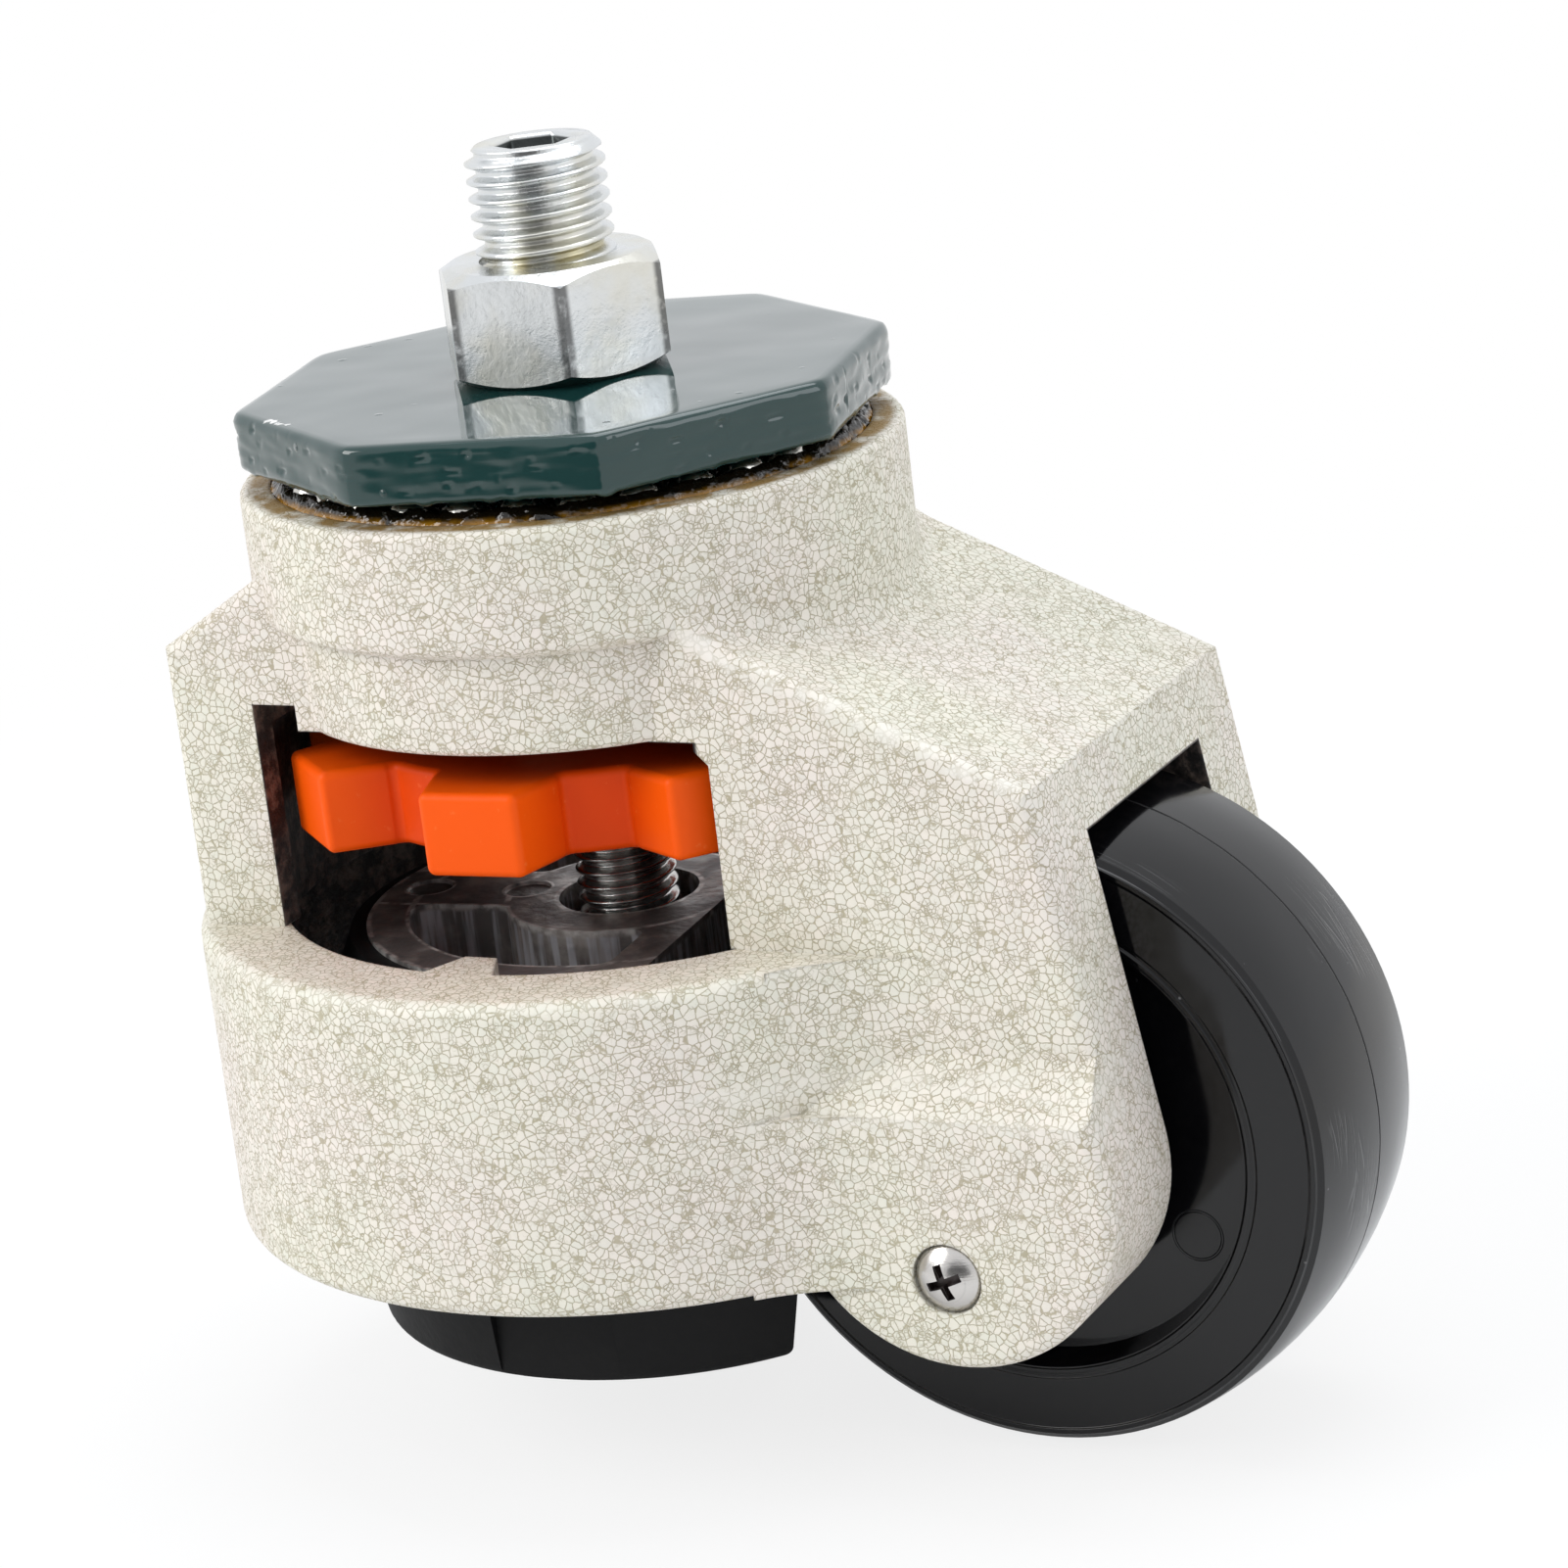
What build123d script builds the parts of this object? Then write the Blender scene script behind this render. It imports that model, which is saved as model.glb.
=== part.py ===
from build123d import *
import os
from math import acos, atan2, cos, hypot, pi, radians, sin, sqrt, tan

# Levelling castor: a swivel castor on a threaded stem whose housing also carries a rubber
# foot. A thumbwheel in the side windows screws the foot down until it lifts the wheel.
# Units are millimetres. The origin is on the swivel axis at the top face of the jam nut,
# where the machine sits. +Z is up and +X points from the swivel axis to the wheel.

# ---- Stem and jam nut (M16 x 2) ----
stem_r = 8.0                # outside of the thread
stem_free = 13.0            # thread left free above the jam nut
stem_chamfer = 1.0
stem_socket_af = 8.0        # hexagon socket in the end of the stem
stem_socket_depth = 8.0
stem_shank_r = 7.7          # below the nut's top face
nut_af = 24.0
nut_height = 13.0
nut_turn = 4.0              # how far round the nut stopped
nut_clearance = 0.05
nut_face = 0.94             # bearing face, as a share of the width across flats

# ---- Top plate ----
plate_af = 70.0
plate_thick = 6.8
plate_turn = 34.0
plate_edge = 0.8

# ---- Swivel head ----
rim_gap = 2.5               # open gap between the plate and the head's rim
head_r = 38.2
head_height = 14.9
head_step = 1.2             # height of the slope under the head
head_round = 1.6
head_blend_r = 4.0          # hollow corner between the head and the sloping top behind it
neck_round = 1.0
rim_round = 1.0
rim_wall = 3.6
neck_step = 2.6             # how far the neck is set in from the head's side
neck_height = 11.2
web_thick = 5.4
journal_r = 10.0
flange_r = 16.0
flange_thick = 3.0
running = 0.05              # radial clearance of the turning fits

upper_ball_r = 3.0
upper_ball_pitch = 6.3      # room along the track for each ball
upper_race_width = 7.6
race_play = 0.4             # between the upper race and the head's rim wall
upper_race_thick = 1.6
lower_ball_r = 2.38
lower_track_r = 15.0
lower_balls_count = 18
lower_race_r = 19.0
lower_race_thick = 2.4
track_depth = 0.45          # how deep a ball lies in its groove
ball_play = 0.03
spigot_r = 8.4
peen_r = 10.5
peen_thick = 1.2
neck_bore_gap = 1.0         # around the lower race

# ---- Housing ----
body_half = 28.0            # half the width across the side walls
body_round = 1.6
front_r = 49.0              # round front of the body
front_shoulder_drop = 24.1  # sloping top at the front, below the plate's underside
front_slope = 31.5          # degrees
rear_corner_x = 65.5
rear_corner_drop = 33.2     # below the plate's underside
rear_slope = 23.8           # degrees
ring_r = 50.0
ring_height = 37.0
ring_bore_r = 45.0
lip_r = 40.0
lip_thick = 3.0
ring_round = 1.8
window_height = 23.6        # from the neck's underside to the lip
window_front_x = -29.6
window_rear_x = 28.0
window_notch_x = -24.0
window_notch = 3.1          # extra height of the window at its front corner
window_corner = 2.5
cavity_r = 38.5             # round room for the thumbwheel
key_reach = 34.5            # inner face of the keys from the axis
key_width = 4.0
key_flare = 24.0            # degrees each flank leans out
key_end_gap = 2.0
key_sink = 1.0              # how deep a key's root lies in the ring's wall

# ---- Wheel bay and legs ----
axle_x = 53.5
axle_drop = 78.75           # below the plate's underside
leg_x = 53.1                # centre of the legs' round ends
leg_drop = 78.4             # below the plate's underside
leg_half = 33.5
leg_r = 19.7
leg_round = 1.6
leg_step_drop = 62.9        # where the side wall starts to step out, below the plate's underside
leg_step_run = 6.0
blend_r = 24.0              # hollow corner that eases the ring into the side walls
slot_half = 16.2
bay_clearance = 2.5
axle_r = 6.0
axle_seat = 7.3             # depth of the axle's grooves in the legs
axle_end_gap = 0.3
axle_chamfer = 0.8
screw_x = 52.6
screw_drop = 8.55           # screw centre below the axle
screw_r = 2.0
screw_head_r = 3.85
screw_head_thick = 2.2
screw_tip_gap = 1.3         # the screws stop short of the wheel bay
screw_counterbore_r = 4.1
screw_sink = 1.0
screw_head_edge = 0.6
screw_dome_out = 0.6        # where the dome passes, as a share of the head's radius
screw_dome_up = 0.7         # and of its height above the edge
screw_cross = 4.2
screw_slot = 1.0
screw_cross_depth = 1.6

# ---- Wheel ----
wheel_r = 37.5
wheel_half = 14.5
shoulder_r = 36.1
shoulder_round = 0.8
rim_inner_r = 27.1
web_half = 10.5
rim_slope = 0.8
hub_slope = 1.0
hub_r = 13.0
bush_wall = 2.0
washer_r = 11.0
washer_thick = 1.3
side_play = 0.1

# ---- Thumbwheel ----
lobe_count = 8
lobe_tip_r = 36.6
lobe_tip_half = 5.9
lobe_root_r = 29.3
lobe_root_half = 7.8
lobe_turn = -87.0
star_drop = 3.9             # star's top face below the neck's underside
star_thick = 9.7
star_round = 1.0
star_hub_r = 15.0
insert_af = 21.0
insert_journal_r = 10.0
insert_boss = 1.5           # how far the insert stands out below the star
bush_depth = 7.0
bush_flange_r = 24.0
bush_flange_thick = 1.5
thrust_thick = 1.0
clip_r = 12.5
clip_thick = 1.0
clip_gap = 4.0
clip_seat = 0.8             # depth of the grooves that the clips sit in
clip_shoulder = 0.4         # of the insert above its clip
groove_overcut = 1.0        # grooves are cut from this far outside the shaft

# ---- Foot ----
stud_r = 5.95               # M12 x 1.75
stud_bore_clearance = 0.05
stud_pitch = 1.75
foot_turns = 8              # turns of the thumbwheel over the whole travel
stop_r = 7.7
stop_thick = 1.2
stop_play = 0.2             # above the stop, and below it at the end of the travel
stud_sink = 0.8             # stud's end below the insert's
stud_chamfer = 0.5
stop_bore_r = 8.3
foot_turn = 4.5             # play of the foot in its keys at rest
foot_plate_drop = 4.0       # foot plate's top below the lip
foot_plate_r = 31.0
foot_plate_height = 30.0
foot_plate_flat = 13.0
pocket_depth = 18.0
pocket_outer_r = 26.0
pocket_boss_r = 14.5
pocket_web = 6.0            # half the web left between the two pockets
pocket_end_x = 8.0
pocket_round = 2.0
stud_recess_r = 8.3
stud_recess_depth = 3.5
ring_clip_r = 7.6
ring_clip_thick = 1.0
eject_mark_depth = 0.4
eject_mark_r = 2.8
foot_nut_af = 18.0
foot_nut_height = 7.0
pad_r = 36.5
pad_bottom_r = 34.8
pad_rim_r = 33.0
pad_rim_drop = 0.5
pad_height = 46.8
pad_draft_height = 12.0
pad_shoulder = 8.0
pad_round = 1.5
pad_notch_half = 24.6
pad_notch_x = 14.0
pad_key_floor = 33.9
pad_key_half = 7.6

# ---- Radii that follow the head ----
neck_r = head_r - neck_step
recess_r = head_r - rim_wall
upper_track_r = recess_r - race_play - upper_race_width / 2
upper_balls_count = int(2 * pi * upper_track_r / upper_ball_pitch)

# ---- Levels, from the jam nut down ----
plate_top = -nut_height
plate_bottom = plate_top - plate_thick
head_top = plate_bottom - rim_gap
head_bottom = head_top - head_height
neck_bottom = head_bottom - neck_height
lip_top = neck_bottom - window_height
ring_bottom = lip_top - ring_height
axle_z = plate_bottom - axle_drop
leg_z = plate_bottom - leg_drop
upper_ball_z = plate_bottom + track_depth - upper_ball_r
upper_race_top = upper_ball_z - upper_ball_r + track_depth
race_seat = upper_race_top - upper_race_thick
web_bottom = race_seat - web_thick
lower_ball_z = web_bottom + track_depth - lower_ball_r
lower_race_top = lower_ball_z - lower_ball_r + track_depth
lower_race_bottom = lower_race_top - lower_race_thick
peen_bottom = lower_race_bottom - peen_thick
star_top = neck_bottom - star_drop
star_bottom = star_top - star_thick
bush_top = neck_bottom + bush_depth
hub_top = neck_bottom - bush_flange_thick - thrust_thick - running
clip_bottom = bush_top + running
insert_top = clip_bottom + clip_thick + clip_shoulder
insert_bottom = star_bottom - insert_boss
foot_travel = foot_turns * stud_pitch
stud_top = insert_top - stud_sink
stop_top = stud_top - stop_play
stop_floor = stop_top - stop_thick - foot_travel - stop_play
foot_top = lip_top - foot_plate_drop
foot_bottom = foot_top - foot_plate_height
ring_top = foot_top - stud_recess_depth + ring_clip_thick
pad_top = foot_top - pad_rim_drop
pad_bottom = pad_top - pad_height


def hexagon_r(across_flats):
    """Corner radius of a hexagon from its width across flats."""
    return across_flats / 2 / cos(radians(30))


# ======== Stem, nut and top plate ========

with BuildPart() as stem:
    with BuildSketch(Plane.XZ) as stem_section:
        with BuildLine():
            Polyline(
                (0, stem_free),
                (stem_r - stem_chamfer, stem_free),
                (stem_r, stem_free - stem_chamfer),
                (stem_r, 0),
                (stem_shank_r, 0),
                (stem_shank_r, plate_bottom),
                (flange_r, plate_bottom),
                (flange_r, plate_bottom - flange_thick),
                (journal_r, plate_bottom - flange_thick),
                (journal_r, lower_race_top),
                (spigot_r, lower_race_top),
                (spigot_r, lower_race_bottom),
                (peen_r, lower_race_bottom),
                (peen_r - peen_thick, peen_bottom),
                (0, peen_bottom),
                close=True,
            )
        make_face()
    revolve(axis=Axis.Z)
    with BuildSketch(Plane.XY.offset(stem_free)):
        RegularPolygon(hexagon_r(stem_socket_af), 6)
    extrude(amount=-stem_socket_depth, mode=Mode.SUBTRACT)

with BuildPart() as jam_nut:
    with BuildSketch(Plane.XY):
        RegularPolygon(hexagon_r(nut_af), 6, rotation=nut_turn)
        Circle(stem_shank_r + nut_clearance, mode=Mode.SUBTRACT)
    extrude(amount=-nut_height)
    # Both faces are turned off to a cone that leaves a round bearing face.
    with BuildSketch(Plane.XZ):
        with BuildLine():
            corner = hexagon_r(nut_af)
            face = nut_af / 2 * nut_face
            drop = (corner - face) * tan(radians(30))
            Polyline(
                (0, 0), (face, 0), (corner, -drop), (corner, drop - nut_height),
                (face, -nut_height), (0, -nut_height), close=True,
            )
        make_face()
    revolve(axis=Axis.Z, mode=Mode.INTERSECT)

with BuildPart() as top_plate:
    with BuildSketch(Plane.XY.offset(plate_top)):
        RegularPolygon(plate_af / 2, 8, major_radius=False, rotation=plate_turn)
        Circle(stem_shank_r + nut_clearance, mode=Mode.SUBTRACT)
    extrude(amount=-plate_thick)
    rim_edges = top_plate.edges().filter_by(GeomType.LINE)
    fillet(rim_edges, radius=plate_edge)
    with BuildSketch(Plane.XZ):
        with Locations((upper_track_r, upper_ball_z)):
            Circle(upper_ball_r + ball_play)
    revolve(axis=Axis.Z, mode=Mode.SUBTRACT)

# ======== Swivel bearing ========

with BuildPart() as upper_race:
    with BuildSketch(Plane.XZ):
        with Locations((upper_track_r, upper_race_top - upper_race_thick / 2)):
            Rectangle(upper_race_width, upper_race_thick)
        with Locations((upper_track_r, upper_ball_z)):
            Circle(upper_ball_r + ball_play, mode=Mode.SUBTRACT)
    revolve(axis=Axis.Z)

with BuildPart() as upper_balls:
    with Locations((0, 0, upper_ball_z)):
        with PolarLocations(upper_track_r, upper_balls_count):
            Sphere(upper_ball_r)

with BuildPart() as lower_balls:
    with Locations((0, 0, lower_ball_z)):
        with PolarLocations(lower_track_r, lower_balls_count):
            Sphere(lower_ball_r)

with BuildPart() as lower_race:
    with BuildSketch(Plane.XY.offset(lower_race_bottom)):
        Circle(lower_race_r)
        Circle(spigot_r, mode=Mode.SUBTRACT)
    extrude(amount=lower_race_thick)
    with BuildSketch(Plane.XZ):
        with Locations((lower_track_r, lower_ball_z)):
            Circle(lower_ball_r + ball_play)
    revolve(axis=Axis.Z, mode=Mode.SUBTRACT)

# ======== Housing, one casting ========

leg_bottom = leg_z - leg_r
front_z = plate_bottom - front_shoulder_drop
rear_corner_z = plate_bottom - rear_corner_drop
step_top = plate_bottom - leg_step_drop
step_bottom = step_top - leg_step_run
bay_r = wheel_r + bay_clearance
screw_z = axle_z - screw_drop
drum_x = sqrt(neck_r**2 - body_half**2)
neck_bore_r = lower_race_r + neck_bore_gap
leg_span = 2 * rear_corner_x    # more than the legs' length
screw_length = leg_half - screw_sink - slot_half - screw_tip_gap

# The rear face runs from the rear corner tangent to the round end of the legs.
corner_dx = rear_corner_x - leg_x
corner_dz = rear_corner_z - leg_z
rear_lean = atan2(corner_dz, corner_dx) - acos(leg_r / sqrt(corner_dx**2 + corner_dz**2))
tangent_x = leg_x + leg_r * cos(rear_lean)
tangent_z = leg_z + leg_r * sin(rear_lean)
leg_front_x = leg_x - sqrt(leg_r**2 - (leg_z - ring_bottom) ** 2)

with BuildSketch(Plane.XZ) as side_outline:
    with BuildLine():
        front_top = (0, front_z + front_r * tan(radians(front_slope)))
        rear_top = (0, rear_corner_z + rear_corner_x * tan(radians(rear_slope)))
        Polyline(
            (leg_front_x, ring_bottom),
            (-front_r, ring_bottom),
            (-front_r, front_z),
            front_top,
            rear_top,
            (rear_corner_x, rear_corner_z),
            (tangent_x, tangent_z),
        )
        ThreePointArc((tangent_x, tangent_z), (leg_x, leg_bottom), (leg_front_x, ring_bottom))
    make_face()

with BuildPart() as body:
    extrude(side_outline.sketch, amount=body_half, both=True)
    with BuildSketch(Plane.XY.offset(leg_bottom)):
        Circle(front_r)
        with Locations((2 * front_r, 0)):
            Rectangle(4 * front_r, 4 * front_r)
    extrude(amount=head_top - leg_bottom, mode=Mode.INTERSECT)
    # Behind, the head's drum runs down into the sloping top with a hollow corner.
    with BuildSketch(Plane.XY.offset(neck_bottom)):
        Circle(head_r)
        with Locations((drum_x - head_r, 0)):
            Rectangle(2 * head_r, 2 * head_r, mode=Mode.SUBTRACT)
        Rectangle(2 * head_r, 2 * body_half, mode=Mode.INTERSECT)
    extrude(amount=head_top - rim_round - neck_bottom)
    fillet(body.edges().filter_by(GeomType.ELLIPSE).sort_by(Axis.X)[-1], radius=head_blend_r)
    side_edges = body.edges().filter_by(lambda e: abs(abs(e.center().Y) - body_half) < 0.01)
    clear_edges = side_edges.filter_by(lambda e: e.center().X < 0 or e.center().X > head_r)
    fillet(clear_edges.filter_by(lambda e: step_top < e.center().Z < head_top - 1), radius=body_round)

with BuildPart() as legs:
    extrude(side_outline.sketch, amount=leg_half, both=True)
    with BuildSketch(Plane.YZ.offset(lip_r / 2)):
        with BuildLine():
            Polyline(
                (-leg_half, leg_bottom),
                (-leg_half, step_bottom),
                (-body_half + body_round, step_top + body_round),
                (body_half - body_round, step_top + body_round),
                (leg_half, step_bottom),
                (leg_half, leg_bottom),
                close=True,
            )
        make_face()
    extrude(amount=leg_span, mode=Mode.INTERSECT)
    outer_edges = legs.edges().filter_by(lambda e: abs(abs(e.center().Y) - leg_half) < 0.01)
    end_edges = outer_edges.filter_by(lambda e: e.center().X > leg_front_x and e.center().Z < step_bottom - 1)
    fillet(end_edges, radius=leg_round)


def blend(wall, top):
    """Webs with a hollow corner between the ring and both side walls, a distance wall from the middle."""
    centre_y = wall + blend_r
    centre_x = sqrt((ring_r + blend_r) ** 2 - centre_y**2)
    share = ring_r / (ring_r + blend_r)
    on_ring = (centre_x * share, centre_y * share)
    lean = (atan2(centre_y, centre_x) + radians(90)) / 2
    middle = (centre_x - blend_r * cos(lean), centre_y - blend_r * sin(lean))
    with BuildPart() as web:
        with BuildSketch(Plane.XY.offset(ring_bottom)):
            with BuildLine():
                Polyline((centre_x, wall), (centre_x, 0), (on_ring[0], 0), on_ring)
                ThreePointArc(on_ring, middle, (centre_x, wall))
            make_face()
        extrude(amount=top - ring_bottom)
        mirror(about=Plane.XZ)
    return web.part


with BuildPart() as ring:
    with BuildSketch(Plane.XY.offset(ring_bottom)):
        Circle(ring_r)
    extrude(amount=ring_height)
    fillet(ring.edges().filter_by(GeomType.CIRCLE), radius=ring_round)

with BuildSketch() as key_section:
    with BuildLine():
        key_root = ring_bore_r + key_sink
        root_half = key_width / 2 + (key_root - key_reach) * tan(radians(key_flare))
        Polyline(
            (key_reach, -key_width / 2),
            (key_root, -root_half),
            (key_root, root_half),
            (key_reach, key_width / 2),
            close=True,
        )
    make_face()

with BuildPart() as housing:
    add(body.part)
    add(legs.part)
    add(ring.part)
    add(blend(body_half, lip_top))
    add(blend(leg_half, step_bottom))
    # The side windows, cut right across, are taller at their front corner.
    with BuildSketch(Plane.XZ):
        with BuildLine():
            Polyline(
                (window_front_x, lip_top),
                (window_front_x, neck_bottom + window_notch),
                (window_notch_x, neck_bottom + window_notch),
                (window_notch_x, neck_bottom),
                (window_rear_x - window_corner, neck_bottom),
                (window_rear_x, neck_bottom - window_corner),
                (window_rear_x, lip_top),
                close=True,
            )
        make_face()
    extrude(amount=leg_half, both=True, mode=Mode.SUBTRACT)

    # Head drum and neck, turned about the swivel axis
    with BuildSketch(Plane.XZ) as head_section:
        with BuildLine():
            Polyline(
                (0, neck_bottom),
                (neck_r, neck_bottom),
                (neck_r, head_bottom),
                (head_r, head_bottom + head_step),
                (head_r, head_top),
                (0, head_top),
                close=True,
            )
        make_face()
        fillet(head_section.vertices().sort_by_distance((neck_r, neck_bottom))[0], radius=neck_round)
        head_edge = (head_r, head_bottom + head_step)
        fillet(head_section.vertices().sort_by_distance(head_edge)[0], radius=head_round)
        fillet(head_section.vertices().sort_by_distance((head_r, head_top))[0], radius=rim_round)
    revolve(axis=Axis.Z)

    # Room for the thumbwheel, the lip's opening and the foot's bore below it
    with BuildSketch(Plane.XY.offset(neck_bottom)):
        Circle(cavity_r)
    extrude(amount=lip_top - neck_bottom, mode=Mode.SUBTRACT)
    with BuildSketch(Plane.XY.offset(lip_top)):
        Circle(lip_r)
    extrude(amount=-lip_thick, mode=Mode.SUBTRACT)
    with BuildSketch(Plane.XY.offset(lip_top - lip_thick)):
        Circle(ring_bore_r)
    extrude(amount=leg_bottom - lip_top + lip_thick, mode=Mode.SUBTRACT)

    # Wheel bay between the legs, round about the axle
    with BuildSketch(Plane.XZ):
        with Locations((axle_x, axle_z)):
            Circle(bay_r)
    extrude(amount=slot_half, both=True, mode=Mode.SUBTRACT)

    # A key at each side runs down the bore from the lip and keeps the foot from turning.
    with BuildSketch(Plane.XY.offset(lip_top)):
        with PolarLocations(0, 2, start_angle=90):
            add(key_section.sketch)
    extrude(amount=-ring_height + key_end_gap)

    # Head: recess for the upper race, bore for the stem, counterbore for the lower race
    with BuildSketch(Plane.XY.offset(head_top)):
        Circle(recess_r)
    extrude(amount=race_seat - head_top, mode=Mode.SUBTRACT)
    with BuildSketch(Plane.XY.offset(race_seat)):
        Circle(journal_r + running)
    extrude(amount=-web_thick, mode=Mode.SUBTRACT)
    with BuildSketch(Plane.XY.offset(web_bottom)):
        Circle(neck_bore_r)
    extrude(amount=neck_bottom - web_bottom, mode=Mode.SUBTRACT)
    with BuildSketch(Plane.XZ):
        with Locations((lower_track_r, lower_ball_z)):
            Circle(lower_ball_r + ball_play)
    revolve(axis=Axis.Z, mode=Mode.SUBTRACT)

    # Axle grooves, open downwards, in the inner faces of the legs
    with BuildSketch(Plane.XZ):
        with Locations((axle_x, axle_z)):
            Circle(axle_r + running)
        with Locations((axle_x, axle_z)):
            groove_drop = axle_z - leg_bottom + groove_overcut
            Rectangle(2 * (axle_r + running), groove_drop, align=(Align.CENTER, Align.MAX))
    extrude(amount=slot_half + axle_seat, both=True, mode=Mode.SUBTRACT)
    # Screw holes below the axle, counterbored from outside
    with Locations(
        Plane((screw_x, -leg_half, screw_z), x_dir=(1, 0, 0), z_dir=(0, -1, 0)),
        Plane((screw_x, leg_half, screw_z), x_dir=(1, 0, 0), z_dir=(0, 1, 0)),
    ):
        CounterBoreHole(screw_r + running, screw_counterbore_r, screw_sink, depth=leg_half - slot_half)

# ======== Axle, screws and wheel ========

axle_half = slot_half + axle_seat - axle_end_gap
hub_half = slot_half - washer_thick - side_play
bush_r = axle_r + running + bush_wall
wheel_plane = Plane(origin=(axle_x, 0, axle_z), x_dir=(0, 1, 0), z_dir=(1, 0, 0))
axle_line = Axis((axle_x, 0, axle_z), (0, 1, 0))

with BuildPart() as axle:
    with BuildSketch(Plane.XZ):
        with Locations((axle_x, axle_z)):
            Circle(axle_r)
    extrude(amount=axle_half, both=True)
    chamfer(axle.edges().filter_by(GeomType.CIRCLE), length=axle_chamfer)

with BuildPart() as axle_screws:
    # Oval head with a cross recess over a plain shank of the thread's outside size
    head_seat = -(leg_half - screw_sink)
    screw_axis = Axis((screw_x, 0, screw_z), (0, 1, 0))
    with BuildSketch(Plane(origin=(screw_x, head_seat, screw_z), x_dir=(1, 0, 0), z_dir=(0, 0, 1))):
        with BuildLine():
            Polyline(
                (0, -screw_head_thick),
                (0, screw_length),
                (screw_r, screw_length),
                (screw_r, 0),
                (screw_head_r, 0),
                (screw_head_r, -screw_head_edge),
            )
            dome_rise = (screw_head_thick - screw_head_edge) * screw_dome_up
            dome = (screw_head_r * screw_dome_out, -screw_head_edge - dome_rise)
            ThreePointArc((screw_head_r, -screw_head_edge), dome, (0, -screw_head_thick))
        make_face()
    revolve(axis=screw_axis)
    cross_floor = head_seat - screw_head_thick + screw_cross_depth
    with BuildSketch(Plane(origin=(screw_x, cross_floor, screw_z), x_dir=(1, 0, 0), z_dir=(0, -1, 0))):
        for turn in (20, 110):
            Rectangle(screw_cross, screw_slot, rotation=turn)
    extrude(amount=2 * screw_cross_depth, mode=Mode.SUBTRACT)
    mirror(about=Plane.XZ)

with BuildPart() as wheel:
    # Half section turned about the axle, then mirrored
    with BuildSketch(wheel_plane):
        with BuildLine():
            crown_y = wheel_half - shoulder_round
            rise = wheel_r - shoulder_r
            crown_mid = (crown_y / 2, wheel_r - rise / 4)
            ThreePointArc((0, wheel_r), crown_mid, (crown_y, shoulder_r))
            Polyline(
                (crown_y, shoulder_r),
                (wheel_half, shoulder_r - shoulder_round),
                (wheel_half, rim_inner_r),
                (web_half, rim_inner_r - rim_slope),
                (web_half, hub_r + hub_slope),
                (hub_half, hub_r),
                (hub_half, bush_r),
                (0, bush_r),
                (0, wheel_r),
            )
        make_face()
    revolve(axis=axle_line)
    mirror(about=Plane.XZ)

with BuildPart() as wheel_bush:
    with BuildSketch(Plane.XZ):
        with Locations((axle_x, axle_z)):
            Circle(bush_r)
            Circle(axle_r + running, mode=Mode.SUBTRACT)
    extrude(amount=hub_half, both=True)

with BuildPart() as side_washers:
    for side in (-1, 1):
        with BuildSketch(Plane.XZ.offset(side * slot_half)):
            with Locations((axle_x, axle_z)):
                Circle(washer_r)
                Circle(axle_r + running, mode=Mode.SUBTRACT)
        extrude(amount=-side * washer_thick)

# ======== Thumbwheel ========

with BuildPart() as thumbwheel:
    with BuildSketch(Plane.XY.offset(star_bottom)) as star:
        Circle(lobe_root_r)
        with PolarLocations(0, lobe_count, start_angle=lobe_turn):
            with BuildLine(mode=Mode.PRIVATE) as lobe_line:
                Polyline(
                    (0, -lobe_root_half),
                    (lobe_root_r, -lobe_root_half),
                    (lobe_tip_r, -lobe_tip_half),
                    (lobe_tip_r, lobe_tip_half),
                    (lobe_root_r, lobe_root_half),
                    (0, lobe_root_half),
                    close=True,
                )
            add(make_face(lobe_line.line, mode=Mode.PRIVATE))
    extrude(amount=star_thick)
    fillet(thumbwheel.edges().filter_by(Axis.Z), radius=star_round)
    fillet(thumbwheel.edges().filter_by(lambda e: abs(e.center().Z - star_bottom) < 0.01), radius=star_round)
    fillet(thumbwheel.edges().filter_by(lambda e: abs(e.center().Z - star_top) < 0.01), radius=star_round)
    with BuildSketch(Plane.XY.offset(star_top)):
        Circle(star_hub_r)
    extrude(amount=hub_top - star_top)
    with BuildSketch(Plane.XY.offset(star_bottom)):
        RegularPolygon(hexagon_r(insert_af), 6)
    extrude(amount=hub_top - star_bottom, mode=Mode.SUBTRACT)

with BuildPart() as thread_insert:
    with BuildSketch(Plane.XY.offset(insert_bottom)):
        RegularPolygon(hexagon_r(insert_af), 6)
    extrude(amount=hub_top - insert_bottom)
    with BuildSketch(Plane.XY.offset(hub_top)):
        Circle(insert_journal_r)
    extrude(amount=insert_top - hub_top)
    with BuildSketch(Plane.XY.offset(insert_bottom)):
        Circle(stud_r + stud_bore_clearance)
    extrude(amount=insert_top - insert_bottom, mode=Mode.SUBTRACT)
    with BuildSketch(Plane.XY.offset(stop_floor)):
        Circle(stop_bore_r)
    extrude(amount=insert_top - stop_floor, mode=Mode.SUBTRACT)
    with BuildSketch(Plane.XY.offset(clip_bottom)):
        Circle(insert_journal_r + groove_overcut)
        Circle(insert_journal_r - clip_seat, mode=Mode.SUBTRACT)
    extrude(amount=clip_thick, mode=Mode.SUBTRACT)

with BuildPart() as insert_clip:
    with BuildSketch(Plane.XY.offset(clip_bottom)):
        Circle(clip_r)
        Circle(insert_journal_r - clip_seat, mode=Mode.SUBTRACT)
        with Locations((clip_r, 0)):
            Rectangle(2 * clip_r - insert_journal_r, clip_gap, mode=Mode.SUBTRACT)
    extrude(amount=clip_thick)

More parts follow.
